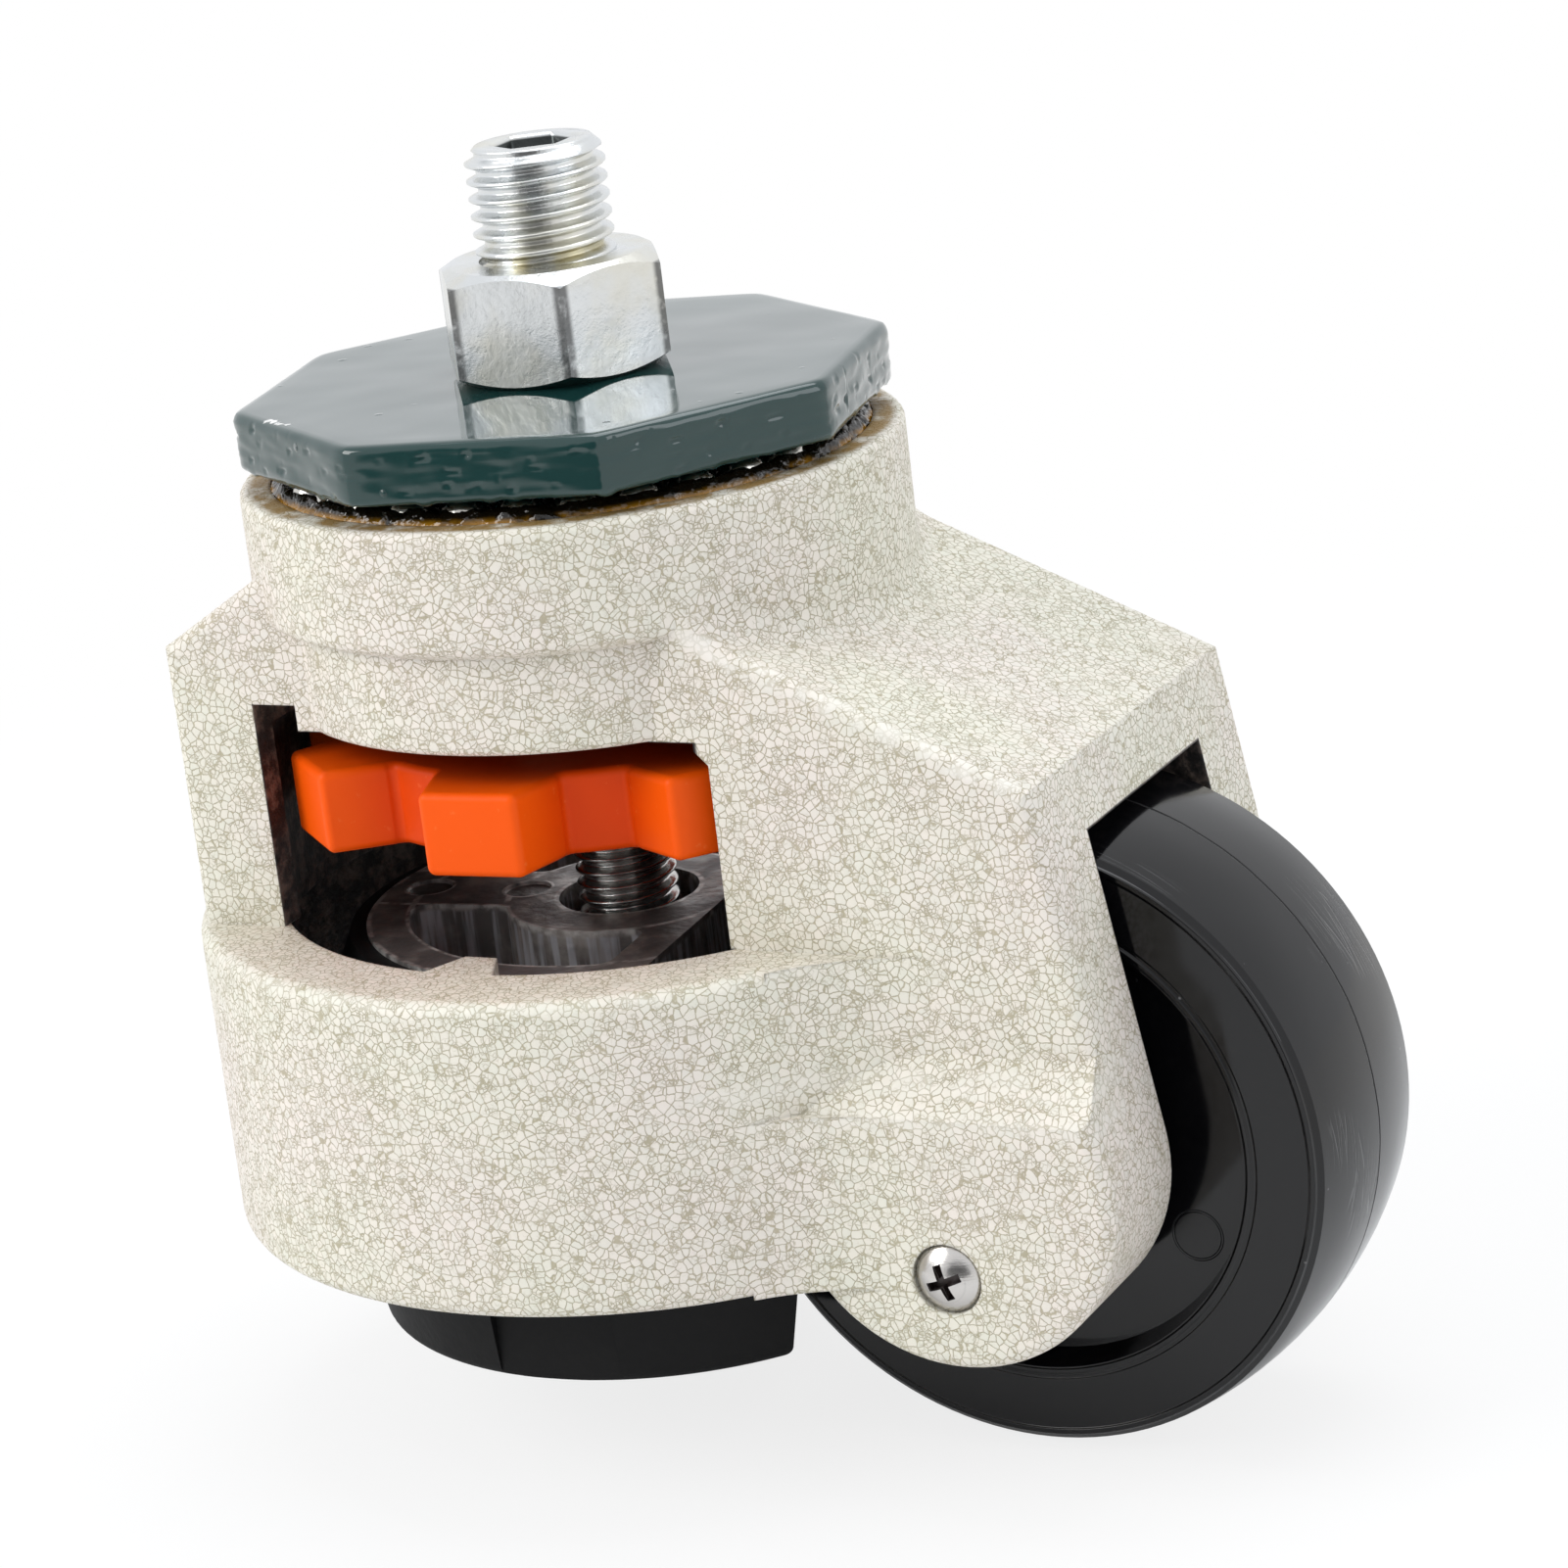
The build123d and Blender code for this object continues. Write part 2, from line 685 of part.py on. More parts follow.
with BuildPart() as thrust_bush:
    with BuildSketch(Plane.XZ):
        with BuildLine():
            Polyline(
                (insert_journal_r + running, bush_top),
                (neck_bore_r, bush_top),
                (neck_bore_r, neck_bottom),
                (bush_flange_r, neck_bottom),
                (bush_flange_r, neck_bottom - bush_flange_thick),
                (insert_journal_r + running, neck_bottom - bush_flange_thick),
                close=True,
            )
        make_face()
    revolve(axis=Axis.Z)

with BuildPart() as thrust_washer:
    with BuildSketch(Plane.XY.offset(neck_bottom - bush_flange_thick)):
        Circle(star_hub_r)
        Circle(insert_journal_r + running, mode=Mode.SUBTRACT)
    extrude(amount=-thrust_thick)

# ======== Foot ========


def foot_level(z):
    """Plane of the foot at a height, turned by the play in its keys."""
    turn = radians(foot_turn)
    return Plane(origin=(0, 0, z), x_dir=(cos(turn), sin(turn), 0), z_dir=(0, 0, 1))


with BuildPart() as foot_stud:
    with BuildSketch(Plane.XY.offset(stud_top)):
        Circle(stud_r)
    extrude(amount=foot_bottom - stud_top)
    chamfer(foot_stud.edges().sort_by(Axis.Z)[-1], length=stud_chamfer)
    for top, thick in ((stop_top, stop_thick), (ring_top, ring_clip_thick)):
        with BuildSketch(Plane.XY.offset(top)):
            Circle(stud_r + groove_overcut)
            Circle(stud_r - clip_seat, mode=Mode.SUBTRACT)
        extrude(amount=-thick, mode=Mode.SUBTRACT)

with BuildPart() as stud_stop:
    with BuildSketch(Plane.XY.offset(stop_top)):
        Circle(stop_r)
        Circle(stud_r - clip_seat, mode=Mode.SUBTRACT)
        with Locations((stop_r, 0)):
            Rectangle(stop_r, clip_gap, mode=Mode.SUBTRACT)
    extrude(amount=-stop_thick)

with BuildPart() as stud_ring:
    with BuildSketch(Plane.XY.offset(ring_top)):
        Circle(ring_clip_r)
        Circle(stud_r - clip_seat, mode=Mode.SUBTRACT)
        with Locations((-ring_clip_r, 0)):
            Rectangle(ring_clip_r, clip_gap, mode=Mode.SUBTRACT)
    extrude(amount=-ring_clip_thick)

with BuildPart() as foot_plate:
    with BuildSketch(foot_level(foot_top)):
        Circle(foot_plate_r)
        with Locations((foot_plate_flat + foot_plate_r, 0)):
            Rectangle(2 * foot_plate_r, 2 * foot_plate_r, mode=Mode.SUBTRACT)
        Circle(stud_r + stud_bore_clearance, mode=Mode.SUBTRACT)
    extrude(amount=-foot_plate_height)
    # Two deep pockets, one at each side of the stud's boss
    with BuildSketch(foot_level(foot_top)):
        Circle(pocket_outer_r)
        Circle(pocket_boss_r, mode=Mode.SUBTRACT)
        Rectangle(2 * foot_plate_r, 2 * pocket_web, mode=Mode.SUBTRACT)
        with Locations((pocket_end_x + foot_plate_r, 0)):
            Rectangle(2 * foot_plate_r, 2 * foot_plate_r, mode=Mode.SUBTRACT)
    extrude(amount=-pocket_depth, mode=Mode.SUBTRACT)
    walls = foot_plate.edges().filter_by(Axis.Z)
    inner = walls.filter_by(lambda e: hypot(e.center().X, e.center().Y) < pocket_outer_r + 0.1)
    fillet(inner.filter_by(lambda e: e.length < pocket_depth + 0.1), radius=pocket_round)
    with BuildSketch(foot_level(foot_top)):
        Circle(stud_recess_r)
    extrude(amount=-stud_recess_depth, mode=Mode.SUBTRACT)
    with BuildSketch(foot_level(foot_top)):
        with Locations((-pocket_outer_r, 0), (-pocket_boss_r + eject_mark_r / 2, 0)):
            Circle(eject_mark_r)
    extrude(amount=-eject_mark_depth, mode=Mode.SUBTRACT)
    with BuildSketch(foot_level(foot_bottom)):
        RegularPolygon(hexagon_r(foot_nut_af), 6)
    extrude(amount=foot_nut_height, mode=Mode.SUBTRACT)

with BuildPart() as foot_nut:
    with BuildSketch(foot_level(foot_bottom)):
        RegularPolygon(hexagon_r(foot_nut_af), 6)
        Circle(stud_r + stud_bore_clearance, mode=Mode.SUBTRACT)
    extrude(amount=foot_nut_height)

with BuildPart() as foot_pad:
    with BuildSketch(Plane.XZ):
        with BuildLine():
            Polyline(
                (0, pad_bottom),
                (pad_bottom_r, pad_bottom),
                (pad_r, pad_bottom + pad_draft_height),
                (pad_r, pad_top - pad_shoulder),
                (pad_rim_r, pad_top),
                (foot_plate_r, pad_top),
                (foot_plate_r, foot_bottom),
                (0, foot_bottom),
                close=True,
            )
        make_face()
    revolve(axis=Axis.Z)
    fillet(foot_pad.edges().sort_by(Axis.Z)[0], radius=pad_round)
    # Notch that clears the wheel, and a groove at each side for the housing's keys
    with BuildSketch(foot_level(pad_top)):
        with Locations((pad_notch_x + pad_r, 0)):
            Rectangle(2 * pad_r, 2 * pad_notch_half)
        for side in (-1, 1):
            with Locations((0, side * (pad_key_floor + pad_r))):
                Rectangle(2 * pad_key_half, 2 * pad_r)
    extrude(amount=-pad_height, mode=Mode.SUBTRACT)
    with BuildSketch(foot_level(foot_top)):
        with Locations((foot_plate_flat + foot_plate_r, 0)):
            Rectangle(2 * foot_plate_r, 2 * foot_plate_r)
    extrude(amount=-foot_plate_height, mode=Mode.SUBTRACT)

# ======== Write one file for each piece ========

pieces = {
    "stem": stem,
    "jam_nut": jam_nut,
    "top_plate": top_plate,
    "upper_race": upper_race,
    "upper_balls": upper_balls,
    "lower_balls": lower_balls,
    "lower_race": lower_race,
    "housing": housing,
    "axle": axle,
    "axle_screws": axle_screws,
    "wheel": wheel,
    "wheel_bush": wheel_bush,
    "side_washers": side_washers,
    "thumbwheel": thumbwheel,
    "thread_insert": thread_insert,
    "insert_clip": insert_clip,
    "thrust_bush": thrust_bush,
    "thrust_washer": thrust_washer,
    "foot_stud": foot_stud,
    "stud_stop": stud_stop,
    "stud_ring": stud_ring,
    "foot_plate": foot_plate,
    "foot_nut": foot_nut,
    "foot_pad": foot_pad,
}
os.makedirs("parts", exist_ok=True)
for name, piece in pieces.items():
    piece.part.label = name
    export_step(piece.part, f"parts/{name}.step")
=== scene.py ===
# %% [markdown]
# # A levelling castor
#
# A machine stands on four of these. A threaded stem screws into the machine, a
# cast housing swivels under it on balls, and one black wheel rolls at the back.
# When the machine has reached its place, the orange star is turned by hand and
# screws a rubber foot down until the wheel hangs free.
#
# The parts are already there as solids. This lesson gives them their finishes
# and makes the details that are too fine for the solids: the real threads, the
# grease in the bearing and the sags in the paint.

# %% Load the solids
from math import cos, exp, log, pi, radians, sin, tau

import bpy
from mathutils import Matrix, Vector, noise


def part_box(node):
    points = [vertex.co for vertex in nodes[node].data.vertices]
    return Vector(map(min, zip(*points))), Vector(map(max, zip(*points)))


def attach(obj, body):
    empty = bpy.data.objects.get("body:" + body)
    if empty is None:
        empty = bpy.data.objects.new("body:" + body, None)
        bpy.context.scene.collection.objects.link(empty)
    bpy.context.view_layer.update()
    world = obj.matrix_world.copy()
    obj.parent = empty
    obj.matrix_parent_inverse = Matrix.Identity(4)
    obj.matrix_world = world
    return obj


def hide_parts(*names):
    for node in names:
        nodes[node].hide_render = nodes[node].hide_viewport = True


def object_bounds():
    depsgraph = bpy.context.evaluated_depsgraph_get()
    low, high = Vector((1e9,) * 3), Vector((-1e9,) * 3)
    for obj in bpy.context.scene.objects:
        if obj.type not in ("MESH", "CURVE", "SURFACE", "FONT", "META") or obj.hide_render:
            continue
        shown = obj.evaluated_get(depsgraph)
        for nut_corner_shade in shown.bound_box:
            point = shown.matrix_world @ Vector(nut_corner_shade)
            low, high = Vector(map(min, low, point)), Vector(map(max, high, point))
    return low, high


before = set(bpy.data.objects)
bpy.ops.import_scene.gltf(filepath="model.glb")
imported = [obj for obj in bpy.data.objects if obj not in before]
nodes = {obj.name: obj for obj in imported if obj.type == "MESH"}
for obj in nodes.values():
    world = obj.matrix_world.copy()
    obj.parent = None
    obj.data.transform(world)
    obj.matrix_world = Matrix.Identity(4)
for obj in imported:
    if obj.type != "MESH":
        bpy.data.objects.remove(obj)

cad_low, cad_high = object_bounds()
mm = 0.001
print("solids:", len(nodes), "box in mm:", [round(v / mm, 1) for v in (*cad_low, *cad_high)])

# %% [markdown]
# ## The camera
#
# The castor is seen from the front right and from a little above, through a long
# lens, as a catalogue shows it. The camera is tipped a few degrees to one side.
# A camera looks along its own -Z, so its three axes are worked out as vectors
# and put into a matrix, which is safer than guessing Euler angles.

# %% Camera
bearing, height_angle, tip = radians(28.09), radians(16.77), radians(-6.83)
back = Vector((sin(bearing) * cos(height_angle), -cos(bearing) * cos(height_angle), sin(height_angle)))
level = Vector((cos(bearing), sin(bearing), 0))
upright = back.cross(level)
right = cos(tip) * level + sin(tip) * upright
up = cos(tip) * upright - sin(tip) * level

camera_place = (0.28418, -0.49111, 0.10551)
long_lens = 116.67

camera = bpy.data.objects.new("camera", bpy.data.cameras.new("camera"))
camera.matrix_world = Matrix((
    (right.x, up.x, back.x, camera_place[0]),
    (right.y, up.y, back.y, camera_place[1]),
    (right.z, up.z, back.z, camera_place[2]),
    (0, 0, 0, 1),
))
camera.data.lens = long_lens
camera.data.clip_start = 0.05
bpy.context.scene.collection.objects.link(camera)
bpy.context.scene.camera = camera
print("camera at", [round(v, 3) for v in camera.location], "lens", camera.data.lens)

# %% [markdown]
# ## Floor, sky and lamps
#
# The light is that of a white tent with three large soft lamps. The camera sees
# the tent plain white. Gloss needs something dark to mirror as well, or black
# nylon and paint turn grey, so for reflections alone the tent has a dark
# opening at the front, as a light tent has. Light Path tells the rays apart.
# The floor keeps its shadow near the castor and fades to white.

# %% Tent and floor
scene = bpy.context.scene
scene.view_settings.view_transform = "Standard"
tent_opening = Vector((0.26, -0.966, 0.0))
opening_edge, opening_heart, opening_shade = 0.80, 0.93, 0.14


def node(tree, kind, **settings):
    """Adds a node; a setting goes to the input of that name, or to the node itself."""
    made = tree.nodes.new("ShaderNode" + kind)
    for key, value in settings.items():
        name = key.replace("_", " ")
        if name in made.inputs:
            made.inputs[name].default_value = value
        else:
            setattr(made, key, value)
    return made


def tent_mirror(tree, direction):
    """A white background that darkens towards the tent's opening, for reflections."""
    unit = node(tree, "VectorMath", operation="NORMALIZE")
    tree.links.new(direction, unit.inputs[0])
    towards = node(tree, "VectorMath", operation="DOT_PRODUCT")
    towards.inputs[1].default_value = tent_opening
    tree.links.new(unit.outputs[0], towards.inputs[0])
    shade = node(tree, "MapRange", To_Min=1.0, To_Max=opening_shade)
    shade.inputs["From Min"].default_value = opening_edge
    shade.inputs["From Max"].default_value = opening_heart
    shade.interpolation_type = "SMOOTHSTEP"
    tree.links.new(towards.outputs["Value"], shade.inputs["Value"])
    return shade.outputs[0]


world = bpy.data.worlds.new("tent")
world.use_nodes = True
scene.world = world
sky = world.node_tree
sky_light = sky.nodes["Background"]
sky_light.inputs["Color"].default_value = (0.93, 0.96, 1.0, 1)
sky_light.inputs["Strength"].default_value = 0.70
sky_white = node(sky, "Background", Strength=1.0, Color=(1, 1, 1, 1))
sky_gloss = node(sky, "Background", Color=(0.97, 0.98, 1.0, 1))
sky_way = node(sky, "TexCoord")
sky.links.new(tent_mirror(sky, sky_way.outputs["Generated"]), sky_gloss.inputs["Strength"])
sky_path = node(sky, "LightPath")
gloss_mix = node(sky, "MixShader")
sky.links.new(sky_path.outputs["Is Glossy Ray"], gloss_mix.inputs[0])
sky.links.new(sky_light.outputs[0], gloss_mix.inputs[1])
sky.links.new(sky_gloss.outputs[0], gloss_mix.inputs[2])
sky_mix = node(sky, "MixShader")
sky.links.new(sky_path.outputs["Is Camera Ray"], sky_mix.inputs[0])
sky.links.new(gloss_mix.outputs[0], sky_mix.inputs[1])
sky.links.new(sky_white.outputs[0], sky_mix.inputs[2])
sky.links.new(sky_mix.outputs[0], sky.nodes["World Output"].inputs["Surface"])

floor_mesh = bpy.data.meshes.new("floor")
floor_z = cad_low.z
floor_reach = 3
floor_corners = ((-1, -1), (1, -1), (1, 1), (-1, 1))
floor_points = [(x * floor_reach, y * floor_reach, floor_z) for x, y in floor_corners]
floor_mesh.from_pydata(floor_points, [], [(0, 1, 2, 3)])
floor = bpy.data.objects.new("floor", floor_mesh)
scene.collection.objects.link(floor)

floor_finish = bpy.data.materials.new("white floor")
floor_finish.use_nodes = True
tree = floor_finish.node_tree
shader = tree.nodes["Principled BSDF"]
shader.inputs["Base Color"].default_value = (0.86, 0.86, 0.86, 1)
shader.inputs["Roughness"].default_value = 0.9
white = node(tree, "Emission", Strength=1.0, Color=(1, 1, 1, 1))
mirrored = node(tree, "Emission", Color=(1, 1, 1, 1))
path = node(tree, "LightPath")
place = node(tree, "TexCoord")
reach = node(tree, "VectorMath", operation="LENGTH")
fade = node(tree, "MapRange", From_Min=0.10, From_Max=0.40, To_Min=0.78, To_Max=1.0)
far = node(tree, "MapRange", From_Min=0.12, From_Max=0.30, To_Min=0.0, To_Max=1.0)
seen = node(tree, "Math", operation="MULTIPLY")
felt = node(tree, "Math", operation="MULTIPLY")
mix = node(tree, "MixShader")
gloss_floor = node(tree, "MixShader")
tree.links.new(place.outputs["Object"], reach.inputs[0])
tree.links.new(reach.outputs["Value"], fade.inputs["Value"])
tree.links.new(reach.outputs["Value"], far.inputs["Value"])
tree.links.new(tent_mirror(tree, place.outputs["Object"]), mirrored.inputs["Strength"])
tree.links.new(path.outputs["Is Glossy Ray"], felt.inputs[0])
tree.links.new(far.outputs[0], felt.inputs[1])
tree.links.new(felt.outputs[0], gloss_floor.inputs[0])
tree.links.new(shader.outputs[0], gloss_floor.inputs[1])
tree.links.new(mirrored.outputs[0], gloss_floor.inputs[2])
tree.links.new(path.outputs["Is Camera Ray"], seen.inputs[0])
tree.links.new(fade.outputs[0], seen.inputs[1])
tree.links.new(seen.outputs[0], mix.inputs[0])
tree.links.new(gloss_floor.outputs[0], mix.inputs[1])
tree.links.new(white.outputs[0], mix.inputs[2])
tree.links.new(mix.outputs[0], tree.nodes["Material Output"].inputs["Surface"])
floor_mesh.materials.append(floor_finish)
print("floor at", round(floor_z / mm, 1), "mm")

# %% Lamps


def soft_lamp(name, place, aim, size, watts, tint):
    """A square soft lamp at place that shines towards aim."""
    lamp = bpy.data.lights.new(name, "AREA")
    lamp.size = size
    lamp.energy = watts
    lamp.color = tint
    holder = bpy.data.objects.new(name, lamp)
    holder.location = place
    holder.rotation_mode = "QUATERNION"
    holder.rotation_quaternion = (Vector(aim) - Vector(place)).to_track_quat("-Z", "Y")
    scene.collection.objects.link(holder)
    return holder


middle = (cad_low + cad_high) / 2
soft_lamp("left lamp", (-0.75, -0.75, 0.65), middle, 0.7, 8.4, (1.0, 0.99, 0.97))
soft_lamp("top lamp", (0.1, 0.25, 1.0), middle, 0.8, 6.0, (0.93, 0.96, 1.0))
soft_lamp("right lamp", (0.95, 0.0, 0.35), middle, 0.5, 1.6, (0.93, 0.96, 1.0))

# %% [markdown]
# ## How the finishes are built
#
# Every finish starts from the Principled shader. A pattern is read in the
# object's own metres, so a 1 mm crackle cell stays 1 mm. The helper below
# keeps a finish short: `near` marks a line or a band, `ramp` eases one value
# into another, and `most` lays several marks over each other.

# %% Finish helpers


class Finish:
    """A material in the making."""

    def __init__(self, name, colour, roughness, metallic=0.0):
        self.material = bpy.data.materials.new(name)
        self.material.use_nodes = True
        self.tree = self.material.node_tree
        self.shader = self.tree.nodes["Principled BSDF"]
        self.set(Base_Color=(*colour, 1), Roughness=roughness, Metallic=metallic)
        self.place = node(self.tree, "TexCoord").outputs["Object"]
        where = node(self.tree, "SeparateXYZ")
        self.tree.links.new(self.place, where.inputs[0])
        self.x, self.y, self.z = where.outputs

    def set(self, **values):
        for key, value in values.items():
            self.shader.inputs[key.replace("_", " ")].default_value = value

    def tie(self, out, name):
        self.tree.links.new(out, self.shader.inputs[name])

    def math(self, operation, a, b=None, clamp=False):
        """One Math node; a and b are sockets or numbers."""
        made = node(self.tree, "Math", operation=operation, use_clamp=clamp)
        for socket, value in zip(made.inputs, (a, b)):
            if isinstance(value, (int, float)):
                socket.default_value = value
            elif value is not None:
                self.tree.links.new(value, socket)
        return made.outputs[0]

    def sum(self, a, b):
        return self.math("ADD", a, b)

    def times(self, a, b):
        return self.math("MULTIPLY", a, b)

    def size(self, value):
        """value without its sign."""
        return self.math("ABSOLUTE", value)

    def most(self, first, *others):
        """The largest of several values."""
        for other in others:
            first = self.math("MAXIMUM", first, other)
        return first

    def far(self, a, b):
        """Length of the vector whose two parts are a and b."""
        return self.math("SQRT", self.sum(self.times(a, a), self.times(b, b)))

    def near(self, value, target, half, soft):
        """1 where value is within half of target, easing to 0 over soft."""
        away = self.size(self.sum(value, -target))
        return self.ramp(away, half + soft, half)

    def noise(self, scale, detail=2.0, stretch=(1, 1, 1), at=None, rough=0.5):
        """Noise with scale in lumps per metre, stretched along the axes."""
        mapping = node(self.tree, "Mapping", Scale=stretch)
        self.tree.links.new(at or self.place, mapping.inputs[0])
        made = node(self.tree, "TexNoise", Scale=scale, Detail=detail, Roughness=rough)
        self.tree.links.new(mapping.outputs[0], made.inputs["Vector"])
        return made.outputs["Fac"]

    def cells(self, scale, at=None, feature="DISTANCE_TO_EDGE", out="Distance"):
        made = node(self.tree, "TexVoronoi", Scale=scale, feature=feature)
        self.tree.links.new(at or self.place, made.inputs["Vector"])
        return made.outputs[out]

    def warped(self, scale, amount, at=None):
        """The place pushed about by noise, by up to amount metres."""
        made = node(self.tree, "TexNoise", Scale=scale, Detail=2.0)
        self.tree.links.new(self.place, made.inputs["Vector"])
        centred = node(self.tree, "VectorMath", operation="SUBTRACT")
        centred.inputs[1].default_value = (0.5, 0.5, 0.5)
        self.tree.links.new(made.outputs["Color"], centred.inputs[0])
        push = node(self.tree, "VectorMath", operation="SCALE", Scale=2 * amount)
        self.tree.links.new(centred.outputs[0], push.inputs[0])
        moved = node(self.tree, "VectorMath", operation="ADD")
        self.tree.links.new(at or self.place, moved.inputs[0])
        self.tree.links.new(push.outputs[0], moved.inputs[1])
        return moved.outputs[0]

    def ramp(self, value, low, high, to_low=0.0, to_high=1.0):
        """value, eased from to_low at low to to_high at high."""
        made = node(
            self.tree, "MapRange", From_Min=low, From_Max=high, To_Min=to_low, To_Max=to_high,
            interpolation_type="SMOOTHSTEP",
        )
        self.tree.links.new(value, made.inputs["Value"])
        return made.outputs[0]

    def blend(self, factor, first, second):
        """A colour between first and second; each is a socket or an RGB triple."""
        made = node(self.tree, "Mix", data_type="RGBA")
        self.tree.links.new(factor, made.inputs[0])
        for socket, colour in ((made.inputs[6], first), (made.inputs[7], second)):
            if isinstance(colour, tuple):
                socket.default_value = (*colour, 1)
            else:
                self.tree.links.new(colour, socket)
        return made.outputs[2]

    def blend_value(self, factor, first, second):
        """A number between first and second; each is a socket or a number."""
        made = node(self.tree, "Mix", data_type="FLOAT")
        self.tree.links.new(factor, made.inputs[0])
        for socket, value in ((made.inputs[2], first), (made.inputs[3], second)):
            if isinstance(value, (int, float)):
                socket.default_value = value
            else:
                self.tree.links.new(value, socket)
        return made.outputs[0]

    def multiply(self, first, second):
        """One colour laid over another as a filter."""
        made = node(self.tree, "Mix", data_type="RGBA", blend_type="MULTIPLY")
        made.inputs[0].default_value = 1.0
        self.tree.links.new(first, made.inputs[6])
        self.tree.links.new(second, made.inputs[7])
        return made.outputs[2]

    def colour(self, out):
        self.tie(out, "Base Color")

    def roughness(self, out):
        self.tie(out, "Roughness")

    def bumps(self, *layers, rounded=0.0):
        """Each layer is (height socket from 0 to 1, rise in metres).

        A negative rise is a groove. rounded is the radius that sharp edges are shaded with.
        """
        last = None
        if rounded:
            last = node(self.tree, "Bevel", Radius=rounded, samples=4).outputs[0]
        for height, rise in layers:
            made = node(self.tree, "Bump", Strength=1.0, Distance=abs(rise), invert=rise < 0)
            self.tree.links.new(height, made.inputs["Height"])
            if last:
                self.tree.links.new(last, made.inputs["Normal"])
            last = made.outputs[0]
        self.tree.links.new(last, self.shader.inputs["Normal"])


def paint(finish, *names):
    """Gives CAD nodes or new pieces this finish in place of their plain one."""
    for name in names:
        piece = nodes[name] if name in nodes else bpy.data.objects[name]
        piece.data.materials.clear()
        piece.data.materials.append(finish.material)


print("finish helpers ready")

# %% [markdown]
# ## Ivory crackle enamel
#
# The casting wears an enamel that tears while it dries. Pale islands of 0.6 to
# 1.6 mm are parted by hairlines. A Voronoi texture gives the distance to the
# nearest edge between two cells, which is just what a hairline needs. Two nets
# of different size are laid over each other, both pushed about by noise, and
# the finer one is only let in here and there.

# %% Crackle net
wide_cells, fine_cells = 1050, 1800
enamel = Finish("crackle enamel", (0.78, 0.75, 0.67), 0.36)
wavy = enamel.warped(1300, 0.00016)
torn = enamel.warped(3400, 0.00005, at=wavy)
wide_net = enamel.ramp(enamel.cells(wide_cells, at=torn), 0.022, 0.078)
fine_net = enamel.ramp(enamel.cells(fine_cells, at=torn), 0.030, 0.105)
let_in = enamel.ramp(enamel.noise(620, 2), 0.34, 0.54)
net = enamel.math("MINIMUM", wide_net, enamel.most(fine_net, let_in))
tint = enamel.cells(wide_cells, at=torn, feature="F1", out="Color")
tint_level = node(enamel.tree, "SeparateColor")
enamel.tree.links.new(tint, tint_level.inputs[0])
island = enamel.blend(tint_level.outputs[0], (0.75, 0.722, 0.65), (0.795, 0.742, 0.672))
mist_level = enamel.ramp(enamel.noise(36, 2), 0.35, 0.65)
mist = enamel.blend(mist_level, (0.985, 1.0, 0.96), (1.0, 0.97, 0.985))
hairline = enamel.blend(enamel.noise(240, 2), (0.37, 0.335, 0.235), (0.53, 0.475, 0.365))
cell_sizes = [round(1000 / wide_cells, 1), round(1000 / fine_cells, 1)]
print("two nets, cells about", cell_sizes, "mm across")

# %% [markdown]
# ## Where the enamel pulls back, and the painted shade in the interior
#
# Wet enamel creeps off an outer edge, so along the long edges the net is lost
# in a smooth band, and that band is lightened as a painted highlight. The
# interior gets painted shade: the room of the star, the bore and the wheel bay
# are coloured a dark mottled brown-black, and only the keys in the bore keep
# the enamel. All of this is found from the distance to planes and axes of
# the casting. The solids' boxes give its top and the axle, and the other places
# are written out. The room, the lip, the bore and the bay are taken 0.05 to
# 0.1 mm wider than they are, so that each wall is wholly in the painted shade.
# The window's front jamb stays in the painted shade until half a millimetre
# short of the outside.

# %% Places on the casting
head_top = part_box("housing")[1].z
axle_low, axle_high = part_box("axle")
axle_x, axle_z = (axle_low.x + axle_high.x) / 2, (axle_low.z + axle_high.z) / 2
room_top, lip_top = head_top - 26.1 * mm, head_top - 49.7 * mm
step_z, foot_z = head_top - 63.0 * mm, head_top - 66.6 * mm
window_front, window_middle = -29.6 * mm, head_top - 36.3 * mm
ring_out, wall_half = 50 * mm, 28 * mm
room_out, lip_out, bore_out, bay_out = 38.6 * mm, 40.05 * mm, 45.1 * mm, 40.1 * mm
bay_half, jamb_out, stain_out = 16.25 * mm, 48.5 * mm, 36.3 * mm
key_from, key_half = 34.2 * mm, 8.2 * mm
slope_rise, slope_top = -0.441, head_top - 1.83 * mm
out = enamel.far(enamel.x, enamel.y)
side = enamel.size(enamel.y)
print("star's room from", round(lip_top / mm, 1), "to", round(room_top / mm, 1), "mm")

# %% Bright edges: fewer veins and a painted highlight
slope_z = enamel.sum(enamel.times(enamel.x, slope_rise), slope_top)
below_slope = enamel.sum(slope_z, enamel.times(enamel.z, -1.0))
top_edge = enamel.times(
    enamel.near(below_slope, 0.7 * mm, 0.6 * mm, 1.0 * mm),
    enamel.near(side, wall_half, 0.9 * mm, 0.9 * mm),
)
top_edge = enamel.times(top_edge, enamel.ramp(enamel.x, 22 * mm, 28 * mm))
step_edge = enamel.times(
    enamel.near(enamel.z, step_z, 0.7 * mm, 1.0 * mm),
    enamel.ramp(enamel.x, 22 * mm, 27 * mm),
)
foot_edge = enamel.times(
    enamel.near(enamel.z, foot_z, 0.5 * mm, 0.9 * mm),
    enamel.ramp(enamel.x, 28 * mm, 33 * mm),
)
ring_edge = enamel.times(
    enamel.near(out, ring_out, 0.9 * mm, 0.7 * mm),
    enamel.near(enamel.z, lip_top, 0.9 * mm, 0.8 * mm),
)
lower_edges = enamel.most(step_edge, enamel.most(ring_edge, foot_edge))
edge = enamel.most(top_edge, enamel.times(0.45, lower_edges))
edge = enamel.times(edge, enamel.ramp(enamel.noise(420, 3), 0.36, 0.60))
net = enamel.most(net, enamel.times(edge, 0.6))
print("bright edges at", round(step_z / mm, 1), "and", round(foot_z / mm, 1), "mm")
